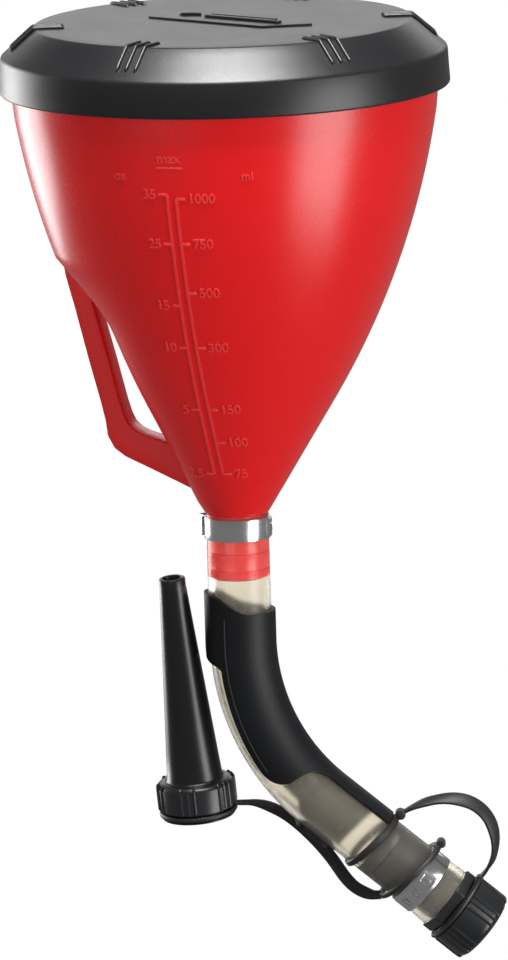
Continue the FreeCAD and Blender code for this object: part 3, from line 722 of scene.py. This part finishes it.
def make_lid():
    groove = RIM_Z + 0.35 * MM
    skirt_in = RIM_R + 0.65 * MM
    plug_out = bowl_radius(RIM_Z) - WALL - 0.35 * MM
    plug_in = plug_out - 1.5 * MM
    top = LID_TOP
    under = top - 1.8 * MM
    outline = profile(top, (0, 0), (20, 0), (45, 0), (62, 0), (68.3, 0), (68.8, -0.08), (69.3, -0.4),
                      (72, -2.7), (76.5, -6.7), (80.6, -10.2), (81.3, -10.9), (81.6, -11.8))
    outline += profile(0, (81.9, 163), (82.2, 158), (82.1, 157.4), (81.7, 157))
    outline += [(skirt_in + 0.9 * MM, 157 * MM), (skirt_in + 0.5 * MM, 157.3 * MM), (skirt_in, 161 * MM),
                (skirt_in, groove), (plug_out, groove), (plug_out, groove - 7.4 * MM),
                (plug_out - 0.5 * MM, groove - 8 * MM), (plug_in + 0.4 * MM, groove - 8 * MM),
                (plug_in, groove - 7.6 * MM), (plug_in, 172.3 * MM), (68.1 * MM, under), (30 * MM, under),
                (0, under)]
    lid = lathe("lid_shell", outline, 192)
    bpy.context.view_layer.update()
    ribs = []
    rib_line = profile(top, (58.4, -0.3), (58.7, 0.35), (60.5, 0.35), (64, 0.35), (68.8, 0.35), (69.6, -0.2),
                       (73.0, -3.15), (76.2, -5.95), (77.4, -7.0), (77.3, -7.9))
    for group in range(6):
        for k in (-1, 0, 1):
            points = [(r, k * 3.7 * MM, z) for r, z in rib_line]
            rib = tube("rib", points, 0.66 * MM, 3)
            transform(rib, Matrix.Rotation(math.radians(-117 + 60 * group), 4, "Z"))
            ribs.append(rib)
    lid = join("lid", [lid] + ribs)
    smooth(lid, 38)
    return lid


def make_lid_relief():
    """Plain raised emblem: a drop and two bars over a bent line, across the middle of the disc."""
    top = LID_TOP
    drop_r = 3.4 * MM
    deselect()
    bpy.ops.mesh.primitive_circle_add(vertices=48, radius=drop_r, fill_type="NGON")
    drop = bpy.context.object

    def pointed(p):
        lift = max(0.0, p.x / drop_r)
        return Vector((p.x * (1 + 0.75 * lift ** 2), p.y * (1 - 0.55 * lift ** 1.5), p.z))

    moved_by(drop, pointed)
    activate(drop)
    bpy.ops.object.mode_set(mode="EDIT")
    bpy.ops.mesh.select_all(action="SELECT")
    bpy.ops.mesh.extrude_region_move(TRANSFORM_OT_translate={"value": (0, 0, 1.2 * MM)})
    deselect()
    recalculate(drop)
    bevel(drop, 0.3 * MM, 2)
    transform(drop, Matrix.Translation((-21 * MM, 3.6 * MM, top - 0.3 * MM)))
    parts = [drop]
    for y, x0, x1 in ((1.6, -11, 24), (5.4, -11, 19)):
        words = bar([Vector((x0, y, 0)) * MM, Vector((x1, y, 0)) * MM], 2.2 * MM, 1.2 * MM)
        transform(words, Matrix.Translation((0, 0, top + 0.3 * MM)))
        bevel(words, 0.35 * MM, 3)
        parts.append(words)
    emblem = join("lid_relief", parts)
    turn = Matrix.Rotation(math.radians(-40), 4, "Z")
    transform(emblem, Matrix.Translation((1.3 * MM, 4.7 * MM, 0)) @ turn)
    bend = [Vector((x, y, 181.2)) * MM for x, y in ((-26.8, 14.4), (14.2, -20.0), (32.2, -17.2))]
    line = bar(bend, 1.4 * MM, 1.0 * MM)
    bevel(line, 0.25 * MM, 2)
    emblem = join("lid_relief", [emblem, line])
    smooth(emblem, 35)
    return emblem


# ---------------------------------------------------------------- hose, guide and clamps

def sweep_ring(name, outline, segments=64):
    """Closed outline of radii carried along the hose's path: outside out, inside back."""
    deselect()
    bpy.ops.mesh.primitive_circle_add(vertices=segments, radius=outline[0][0])
    piece = bpy.context.object
    piece.name = name
    activate(piece)
    bpy.ops.object.mode_set(mode="EDIT")
    bpy.ops.mesh.select_all(action="SELECT")
    for _ in outline[1:]:
        bpy.ops.mesh.extrude_region_move(TRANSFORM_OT_translate={"value": (0, 0, MM)})
    bpy.ops.object.mode_set(mode="OBJECT")
    for i, v in enumerate(piece.data.vertices):
        ring, step = divmod(i, segments)
        r, station = outline[ring]
        v.co = wrap_on_hose(r, 360 * step / segments, station)
    recalculate(piece)
    return piece


def make_hose():
    bend, outlet, last = BEND_TOP / MM, OUTLET / MM, (OUTLET + HOSE_END) / MM
    steps = [6, 20, 34, 47] + [bend + 2.5 * i for i in range(1, 29)]
    steps = [s for s in steps if s < outlet] + [outlet + 20, outlet + 40]
    steps += [last - back for back in (9, 7, 5, 3, 1)]
    flare = 0.55 * MM
    edge = 0.3 * MM
    bore_r = HOSE_BORE_R + 0.05 * MM
    end = last * MM

    def swell(s):
        """How far the hose's end is spread by the fitting's tail."""
        return ease(0, flare, (s - last + 9) / 7)

    outline = [(HOSE_R - edge, 0.65 * MM), (HOSE_R, 0.95 * MM)]
    outline += [(HOSE_R + swell(s), s * MM) for s in steps]
    outline += [(HOSE_R + flare, end - edge), (HOSE_R + flare - edge, end), (HOSE_BORE_R + flare, end)]
    outline += [(bore_r + swell(s), s * MM) for s in reversed(steps)]
    outline += [(bore_r, 0.65 * MM), (HOSE_R - edge, 0.65 * MM)]
    hose = sweep_ring("hose", outline, 96)
    smooth(hose, 50)
    return hose


def guide_edges(s):
    """Azimuths of the guide's front and rear edges at a station along the hose, in millimetres."""
    bend = BEND_TOP / MM
    outlet = OUTLET / MM
    front_end = bend + BEND_R / MM * math.radians(GUIDE_FRONT_DEG)
    corner = 10.0
    reach = math.degrees(1 / 13.0)
    if s < bend + 2.5:
        front = -204
    elif s < bend + 9.5:
        front = -ease(204, 129, (s - bend - 2.5) / 7)
    elif s < front_end - corner:
        front = -129
    elif s < front_end:
        t = (s - front_end + corner) / corner
        front = -129 + corner * (1 - math.sqrt(max(1 - t * t, 0))) * reach * 1.05
    else:
        t = (s - front_end) / 12
        front = -37 - (84 - 37) * (1 - math.sqrt(max(1 - (1 - min(t, 1)) ** 2, 0)))
    if s < bend + 2.5:
        rear = 150
    elif s < outlet - 6:
        rear = ease(150, 129, (s - bend - 2.5) / 5)
    elif s < outlet + 9:
        rear = ease(129, 196, (s - outlet + 6) / 6)
    elif s < outlet + 15.5:
        t = (s - outlet - 9) / 6.5
        rear = 196 - 55 * (1 - math.sqrt(max(1 - t * t, 0)))
    else:
        rear = ease(141, 37, (s - outlet - 15.5) / 1.5)
    return front, rear


def make_guide():
    """Snap-on channel: one thin sheet laid round the hose between its front and rear edges."""
    start, end = GUIDE_START / MM, OUTLET / MM + 22.6
    front_end = (BEND_TOP + BEND_R * math.radians(GUIDE_FRONT_DEG)) / MM
    stations = []
    s = start
    while s < end:
        stations.append(s)
        near = min(abs(s - 54), abs(s - front_end + 3), abs(s - front_end - 2), abs(s - OUTLET / MM - 14))
        s += 0.35 if near < 5 else 1.2
    stations.append(end)
    columns = 56
    deselect()
    bpy.ops.mesh.primitive_grid_add(x_subdivisions=columns, y_subdivisions=len(stations) - 1, size=1)
    guide = bpy.context.object
    guide.name = "bend_guide"
    for i, v in enumerate(guide.data.vertices):
        row, column = divmod(i, columns + 1)
        front, rear = guide_edges(stations[row])
        azimuth = front + (rear - front) * column / columns
        station = stations[row]
        slant = ease(-6, 1, (math.cos(math.radians(azimuth)) + 1) / 1.3)
        station += slant * max(1 - (station - start) / 12, 0)
        v.co = wrap_on_hose(HOSE_R + 0.02 * MM, azimuth, station * MM)
    guide.data.update()
    activate(guide)
    bpy.ops.object.mode_set(mode="EDIT")
    bpy.ops.mesh.select_all(action="SELECT")
    bpy.ops.mesh.normals_make_consistent(inside=False)
    deselect()
    middle = guide.data.polygons[(len(stations) // 2) * columns + columns // 2]
    axis = along_hose(stations[len(stations) // 2] * MM).translation
    if (Vector(middle.center) - axis).dot(middle.normal) < 0:
        activate(guide)
        bpy.ops.object.mode_set(mode="EDIT")
        bpy.ops.mesh.select_all(action="SELECT")
        bpy.ops.mesh.flip_normals()
        deselect()
    activate(guide)
    skin = guide.modifiers.new("wall", "SOLIDIFY")
    skin.thickness = GUIDE_WALL
    skin.offset = 1
    skin.use_even_offset = True
    bpy.ops.object.modifier_apply(modifier=skin.name)
    bevel(guide, 0.45 * MM, 3, 50)
    beads = []
    for azimuth, last in ((-118, front_end - 8), (118, OUTLET / MM - 7)):
        points = []
        s = start + 2.5
        while s < last:
            points.append(wrap_on_hose(HOSE_R + 1.5 * MM, azimuth, s * MM))
            s += 3
        beads.append(tube("bead", points, 0.5 * MM, 3))
    guide = join("bend_guide", [guide] + beads)
    smooth(guide, 50)
    return guide


def make_clamp():
    """Rolled band and folded ear of an ear clamp."""
    r = HOSE_R
    t = 0.65 * MM
    w = 4 * MM
    band = lathe("band", [(r, -w), (r + t, -w), (r + t, w), (r, w), (r, -w)], 128)
    bevel(band, 0.15 * MM, 2)
    rising = ((0.1, -6.2), (0.75, -4.6), (2.2, -3.5), (4.0, -3.3), (4.8, -2.5), (5.0, -1.2))
    ear_line = rising + ((4.7, 0),) + tuple((rise, -y) for rise, y in reversed(rising))
    points = [(r + rise * MM, y * MM, 0) for rise, y in ear_line]
    return [band, bar(points, 7 * MM, 0.75 * MM, up=(1, 0.001, 0))]


def arc_plate(radius, start_deg, end_deg, half_width, thickness, windows):
    """Curved strip with rectangular windows, given as (start, end, half width) in degrees and metres."""
    columns = 60
    rows = 8
    deselect()
    bpy.ops.mesh.primitive_grid_add(x_subdivisions=columns, y_subdivisions=rows, size=1)
    plate = bpy.context.object
    for i, v in enumerate(plate.data.vertices):
        row, column = divmod(i, columns + 1)
        a = math.radians(start_deg + (end_deg - start_deg) * column / columns)
        v.co = Vector((radius * math.cos(a), radius * math.sin(a), half_width * (2 * row / rows - 1)))
    plate.data.update()
    activate(plate)
    bpy.ops.object.mode_set(mode="EDIT")
    mesh = bmesh.from_edit_mesh(plate.data)
    bpy.ops.mesh.select_all(action="DESELECT")
    for f in mesh.faces:
        c = f.calc_center_median()
        a = math.degrees(math.atan2(c.y, c.x)) % 360
        f.select = any(first <= a <= last and abs(c.z) < half for first, last, half in windows)
    bmesh.update_edit_mesh(plate.data)
    bpy.ops.mesh.delete(type="FACE")
    bpy.ops.mesh.select_all(action="SELECT")
    bpy.ops.mesh.normals_make_consistent(inside=False)
    deselect()
    face = plate.data.polygons[0]
    if Vector((face.center.x, face.center.y, 0)).dot(face.normal) < 0:
        activate(plate)
        bpy.ops.object.mode_set(mode="EDIT")
        bpy.ops.mesh.select_all(action="SELECT")
        bpy.ops.mesh.flip_normals()
        deselect()
    activate(plate)
    skin = plate.modifiers.new("thickness", "SOLIDIFY")
    skin.thickness = thickness
    skin.offset = 1
    bpy.ops.object.modifier_apply(modifier=skin.name)
    bevel(plate, 0.12 * MM, 2, 50)
    return plate


def finished_clamp(name, station, turn):
    """Ear clamp with the hooks of its band in the windows of its overlapping tail."""
    parts = make_clamp()
    windows = [(middle - 6, middle + 6, 1.6 * MM) for middle in (207, 235, 263)]
    parts.append(arc_plate(CLAMP_PLATE_R, 193, 288, 3.4 * MM, 0.5 * MM, windows))
    for first, _, _ in windows:
        parts.append(arc_plate(CLAMP_PLATE_R, first + 1.5, first + 6.5, 1.2 * MM, 0.95 * MM, []))
    clamp = join(name, parts)
    upside_down = station < BEND_TOP
    if upside_down:
        transform(clamp, Matrix.Rotation(math.pi, 4, "X"))
    transform(clamp, along_hose(station) @ Matrix.Rotation(math.radians(turn), 4, "Z"))
    smooth(clamp, 40)
    return clamp


# ---------------------------------------------------------------- screwed parts

def grip_ribs(r, low, high, first_deg, width=1.05 * MM, rise=0.5 * MM):
    """Eighteen half-round ribs in six groups round a barrel."""
    crest = r + rise - width / 2
    points = [(r - 0.5 * MM, 0, low), (crest, 0, low + 0.2 * MM), (crest, 0, low + 1 * MM),
              (crest, 0, (low + high) / 2), (crest, 0, high - 1 * MM), (r - 0.2 * MM, 0, high),
              (r - 0.9 * MM, 0, high + 0.1 * MM)]
    ribs = []
    for group in range(6):
        for k in (-1, 0, 1):
            rib = tube("rib", points, width / 2, 2)
            transform(rib, Matrix.Rotation(math.radians(first_deg + 60 * group + 10.5 * k), 4, "Z"))
            ribs.append(rib)
    return ribs


def make_end_cap():
    bore = CAP_BORE_R
    neck = CAP_NECK_R
    lip = neck + 0.6 * MM
    r = CAP_R
    g = CAP_START + 0.3 * MM
    b = CAP_START + 1.9 * MM
    e = CAP_END
    outline = [(bore, CAP_START), (neck + 0.45 * MM, CAP_START), (lip, CAP_START + 0.15 * MM), (lip, g),
               (neck, g + 0.05 * MM), (neck, b), (r - 0.3 * MM, b), (r, b + 0.3 * MM), (r, e - 3.4 * MM),
               (r - 0.25 * MM, e - 2.2 * MM), (r - 0.9 * MM, e - 1.25 * MM), (r - 2.0 * MM, e - 0.55 * MM),
               (r - 3.8 * MM, e - 0.12 * MM), (r - 5.5 * MM, e), (4 * MM, e), (0, e), (0, e - 1.9 * MM),
               (bore - 0.3 * MM, e - 1.9 * MM), (bore, e - 2.2 * MM)]
    z = e - 3.4 * MM
    crest = bore - 0.25 * MM
    while z > CAP_START + 2.2 * MM:
        outline += [(bore, z + 0.9 * MM), (crest, z + 0.4 * MM), (crest, z - 0.1 * MM), (bore, z - 0.6 * MM)]
        z -= THREAD_PITCH
    outline.append((bore, CAP_START))
    cap = lathe("cap_shell", outline, 128)
    cap = join("end_cap", [cap] + grip_ribs(r, b + 0.3 * MM, e - 1.6 * MM, 0))
    transform(cap, along_hose(OUTLET))
    smooth(cap, 38)
    return cap


def nozzle_frame():
    axis = Vector((-0.082, -0.087, 0.993)).normalized()
    foot = Vector((-17.85, 6.5, -108.2)) * MM - axis * 7 * MM
    return Matrix.Translation(foot) @ axis.to_track_quat("Z", "Y").to_matrix().to_4x4()


def make_nozzle():
    bore = CAP_BORE_R
    neck = CAP_NECK_R
    r = NOZZLE_R
    top = NOZZLE_SHOULDER
    length = NOZZLE_LENGTH
    outline = [(bore, 0)] + profile(0, (13.3, 0), (13.5, 0.2), (13.5, 0.5))
    outline += [(neck, 0.8 * MM), (neck, 3.5 * MM), (r - 0.3 * MM, 3.5 * MM), (r, 3.8 * MM),
                (r, top - 1.9 * MM), (r - 0.5 * MM, top - 0.8 * MM), (r - 1.5 * MM, top - 0.15 * MM),
                (r - 2.4 * MM, top)]
    outline += profile(top, (11.2, 0.05), (10.6, 0.4), (10.3, 1.1))
    base_r, tip_r = 10.25 * MM, 5.0 * MM
    base, land = top + 1.4 * MM, length - 4.2 * MM
    steps = 8
    for i in range(1, steps + 1):
        share = i / steps
        outline.append((base_r + (tip_r - base_r) * share, base + (land - base) * share))
    outline += profile(length, (4.9, -3.9), (4.9, -0.5), (4.6, -0.1), (4.3, 0), (3.6, 0), (3.4, -0.3),
                       (3.4, -5))
    outline += profile(top, (8.3, 0), (8.3, -1.6))
    outline += [(bore - 0.3 * MM, top - 1.6 * MM), (bore, top - 2 * MM), (bore, 0)]
    nozzle = lathe("spout", outline, 128)
    nozzle = join("nozzle", [nozzle] + grip_ribs(r, 3.8 * MM, top - 0.5 * MM, -60))
    transform(nozzle, nozzle_frame())
    smooth(nozzle, 38)
    return nozzle


def make_fitting():
    """Threaded end fitting: ridged hose tail, hexagon and a helical thread round its spigot."""
    bore, tail, root = BORE_R, TAIL_R, SPIGOT_R
    start = TAIL_START
    end = THREAD_END
    outline = [(bore, start + 0.3 * MM), (bore + 0.3 * MM, start), (tail - 0.5 * MM, start),
               (tail, start + 0.6 * MM), (tail, start + 3 * MM), (tail + 0.65 * MM, start + 5 * MM),
               (tail, start + 5.4 * MM), (tail, HOSE_END), (root, HOSE_END), (root, end - 0.7 * MM),
               (root - 0.7 * MM, end), (bore + 0.4 * MM, end), (bore, end - 0.4 * MM),
               (bore, start + 0.3 * MM)]
    spigot = lathe("spigot", outline, 96)
    deselect()
    bpy.ops.mesh.primitive_cylinder_add(
        vertices=6, radius=HEX_ACROSS / math.sqrt(3), depth=HEX_LENGTH,
        location=(0, 0, HOSE_END + HEX_LENGTH / 2), rotation=(0, 0, math.radians(90)))
    nut = bpy.context.object
    apply_place(nut)
    bevel(nut, 0.5 * MM, 3)
    first_turn = HOSE_END + HEX_LENGTH + 1.7 * MM
    steps = int(THREAD_TURNS * 48)
    run_out = 14
    rings = []
    for i in range(steps + 1):
        turn = 2 * math.pi * THREAD_TURNS * i / steps
        share = min(i, steps - i) / run_out
        crest = root + (THREAD_R - root) * min(share, 1)
        foot = root - 0.2 * MM
        z = first_turn + THREAD_PITCH * turn / (2 * math.pi)
        section = [(foot, -0.9 * MM), (crest, -0.4 * MM), (crest, 0.3 * MM), (foot, 0.8 * MM)]
        rings.append([Vector((r * math.cos(turn), r * math.sin(turn), z + dz)) for r, dz in section])
    thread = swept("thread", rings)
    fitting = join("end_fitting", [spigot, nut, thread])
    transform(fitting, along_hose(OUTLET))
    smooth(fitting, 35)
    return fitting


def on_outlet(station, height, rear=0.0):
    """Point beside the outlet run, in millimetres: height is above the hose's axis, on the bend's inside."""
    return along_hose(OUTLET) @ Vector((-height * MM, rear * MM, station * MM))


def knob(place, radius, length):
    """Small rounded boss that lies across the hose."""
    half = length / 2
    edge = 0.35 * radius
    upper = [(radius, half - edge), (radius - 0.3 * edge, half - 0.3 * edge), (radius - edge, half),
             (0, half)]
    boss = lathe("knob", [(r, -z) for r, z in reversed(upper)] + upper, 32)
    transform(boss, Matrix.Translation(place) @ Matrix.Rotation(math.radians(90), 4, "X"))
    return boss


def collar_ring(low, high, inner):
    soft = 0.3 * MM
    return lathe("collar", [(inner, low), (COLLAR_R - soft, low), (COLLAR_R, low + soft),
                            (COLLAR_R, high - soft), (COLLAR_R - soft, high), (inner, high),
                            (inner, low)], 96)


def make_cap_tether():
    """Soft moulding: tilted ring with a knob, a strap that twists over its arch, and the cap's collar."""
    half = 1.3 * MM
    inner = HOSE_R - 0.05 * MM
    outer = HOSE_R + 1.4 * MM
    band = lathe("ring", [(inner, -half), (outer - 0.5 * MM, -half), (outer, 0.4 * MM - half),
                          (outer, half - 0.4 * MM), (outer - 0.5 * MM, half), (inner, half),
                          (inner, -half)], 96)
    transform(band, along_hose(OUTLET + RING_A) @ Matrix.Rotation(math.radians(8), 4, "Y"))
    collar = collar_ring(CAP_START + 0.55 * MM, CAP_START + 1.65 * MM, COLLAR_BORE_R)
    transform(collar, along_hose(OUTLET))
    start = on_outlet(24.9, 14.3)
    end = on_outlet(63.0, 13.9)
    top_line = ((61.5, -113.2), (68.0, -110.9), (76.0, -110.1), (84.0, -112.2), (89.6, -117.6),
                (92.0, -125.5), (91.2, -133.0), (88.4, -137.6))
    arch = [start] + [Vector((x, 0, z)) * MM for x, z in top_line] + [end]
    widths = [width * MM for width in (3.4, 5.2, 5.8, 5.8, 5.2, 3.2)]
    band_strap = strap("arch", arch, widths, 1.35 * MM, Vector((0, 1, 0)), [0, 22, 42, 40, 18, 0])
    lug = knob(end, 1.3 * MM, 3.6 * MM)
    tether = join("cap_tether", [band, knob(start, 1.9 * MM, 5.5 * MM), band_strap, lug, collar])
    smooth(tether, 45)
    return tether


def make_nozzle_tether():
    """Loose ring on the hose, a strap that passes behind the hose, and a collar round the nozzle's nut."""
    tilt = math.radians(LOOSE_RING_TILT_DEG)
    radius = LOOSE_RING_R
    deselect()
    bpy.ops.mesh.primitive_torus_add(major_radius=radius, minor_radius=1.1 * MM,
                                     major_segments=96, minor_segments=16)
    loose = bpy.context.object
    transform(loose, along_hose(OUTLET + RING_B) @ Matrix.Rotation(tilt, 4, "Y"))
    lean = radius * math.tan(tilt) / MM
    boss = knob(on_outlet(RING_B / MM + lean, radius / MM + 1.3), 1.7 * MM, 5 * MM)
    collar = collar_ring(1.1 * MM, 2.7 * MM, COLLAR_BORE_R)
    transform(collar, nozzle_frame())
    start = on_outlet(RING_B / MM - lean, -radius / MM)
    behind = ((44.8, 0, -146.0), (37.5, 4, -142.7), (30.0, 13, -132.0), (18.0, 17, -120.0),
              (6.0, 13.5, -112.6))
    route = [start] + [Vector(p) * MM for p in behind]
    hub = nozzle_frame() @ Vector((0, 0, 1.9 * MM))
    axis = nozzle_frame().col[2].to_3d()
    toward = route[-1] - hub
    toward = (toward - axis * toward.dot(axis)).normalized()
    route.append(hub + toward * 13.9 * MM)
    widths = [width * MM for width in (3.4, 4.6, 4.8, 4.8, 4.2, 2.0)]
    flat = strap("nozzle_strap", route, widths, 1.6 * MM, Vector((0.55, 0, 0.83)), [0] * len(widths))
    tether = join("nozzle_tether", [loose, boss, flat, collar])
    smooth(tether, 45)
    return tether


# ---------------------------------------------------------------- camera, light and floor

def make_camera():
    target = Vector((6.5 * MM, 0, 11 * MM))
    elevation = math.radians(10.3)
    back = Vector((0, -math.cos(elevation), math.sin(elevation)))
    data = bpy.data.cameras.new("camera")
    data.sensor_width = 36
    data.lens = 409
    data.clip_end = 100
    camera = bpy.data.objects.new("camera", data)
    bpy.context.collection.objects.link(camera)
    camera.location = target + back * 4.0
    turn = (-back).to_track_quat("-Z", "Y").to_matrix() @ Matrix.Rotation(math.radians(-1.65), 3, "Z")
    camera.rotation_euler = turn.to_euler()
    bpy.context.scene.camera = camera


def softbox(name, place, width, height, power, target=(0, 0, 0.05)):
    data = bpy.data.lights.new(name, "AREA")
    data.shape = "RECTANGLE"
    data.size = width
    data.size_y = height
    data.energy = power
    light = bpy.data.objects.new(name, data)
    bpy.context.collection.objects.link(light)
    light.location = place
    light.rotation_euler = (Vector(target) - Vector(place)).to_track_quat("-Z", "Y").to_euler()
    return light


def white_where_seen(tree, dim):
    """Strength: 1 where the camera or clear plastic looks at a surface, dim for its light on the object."""
    nodes, links = tree.nodes, tree.links
    path = nodes.new("ShaderNodeLightPath")
    seen = nodes.new("ShaderNodeMath")
    seen.operation = "MAXIMUM"
    links.new(path.outputs["Is Camera Ray"], seen.inputs[0])
    links.new(path.outputs["Is Transmission Ray"], seen.inputs[1])
    strength = nodes.new("ShaderNodeMapRange")
    strength.inputs["To Min"].default_value = dim
    links.new(seen.outputs[0], strength.inputs["Value"])
    return strength.outputs["Result"]


def make_studio():
    floor_z = -1.9
    glow = 0.18
    deselect()
    bpy.ops.mesh.primitive_plane_add(size=60, location=(0, 0, floor_z))
    floor = bpy.context.object
    floor.name = "studio_floor"
    material = bpy.data.materials.new("studio_white")
    material.use_nodes = True
    shader = material.node_tree.nodes["Principled BSDF"]
    shader.inputs["Base Color"].default_value = (0.01, 0.01, 0.01, 1)
    shader.inputs["Roughness"].default_value = 0.9
    shader.inputs["Emission Color"].default_value = (1, 1, 1, 1)
    strength = white_where_seen(material.node_tree, glow)
    material.node_tree.links.new(strength, shader.inputs["Emission Strength"])
    floor.data.materials.append(material)
    world = bpy.data.worlds.new("studio")
    world.use_nodes = True
    background = world.node_tree.nodes["Background"]
    background.inputs["Color"].default_value = (1, 1, 1, 1)
    world.node_tree.links.new(white_where_seen(world.node_tree, glow), background.inputs["Strength"])
    bpy.context.scene.world = world
    softbox("right_softbox", (1.1, -0.72, -0.2), 0.7, 1.1, 15, (0, 0, 0))
    softbox("top_softbox", (0.03, -0.35, 1.5), 0.75, 0.8, 56, (0, 0, 0.15))
    softbox("left_softbox", (-0.9, 0.85, 0.05), 0.7, 0.8, 11)
    softbox("back_softbox", (0.2, 2.4, 0.75), 2.2, 0.5, 6, (0, 0, 0.18))
    fill = softbox("fill_softbox", (-0.9, -1.3, 0.1), 1.2, 1.2, 8)
    fill.visible_glossy = False
    bpy.context.scene.view_settings.view_transform = "Standard"
    bpy.context.scene.view_settings.look = "None"


# ---------------------------------------------------------------- assembly

make_camera()
make_studio()

done(make_bowl(), "funnel", RED, "red_plastic", "bowl")
done(make_scale(), "funnel", RED_RELIEF_PAINTED_HIGHLIGHT, "red_plastic")
done(make_handle(), "funnel", RED, "red_plastic", "handle")
done(make_lid(), "lid", LID_BLACK, "lid_plastic", "lid")
done(make_lid_relief(), "lid", LID_BLACK, "lid_plastic")
done(make_hose(), "funnel", HOSE_CLEAR, "clear_hose", "hose")
done(make_guide(), "funnel", GUIDE_BLACK, "guide_plastic", "bend_guide")
done(finished_clamp("upper_clamp", 6 * MM, 40), "funnel", STEEL, "clamp_steel", "upper_clamp")
done(finished_clamp("lower_clamp", OUTLET + CLAMP_B, 50), "funnel", STEEL, "clamp_steel", "lower_clamp")
done(make_end_cap(), "cap", CAP_BLACK, "cap_plastic", "end_cap")
done(make_nozzle(), "nozzle", CAP_BLACK, "cap_plastic", "nozzle")

done(make_fitting(), "funnel", FITTING_BLACK, "fitting_plastic", "end_fitting")
done(make_nozzle_tether(), "nozzle_tether", TETHER_BLACK, "tether_rubber", "nozzle_tether")
cap_tether = make_cap_tether()
cap_tether.data.materials.clear()
cap_tether.data.materials.append(TETHER_BLACK)
tuple(on_outlet(28, 0))
tuple(on_outlet(61.9, 0))
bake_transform(cap_tether)
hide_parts("cap_tether_ring", "cap_tether_strap", "cap_tether_collar")

for node in ("cap_seal", "nozzle_seal"):
    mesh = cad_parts[node].data
    mesh.materials.clear()
    mesh.materials.append(SEAL_BLACK)
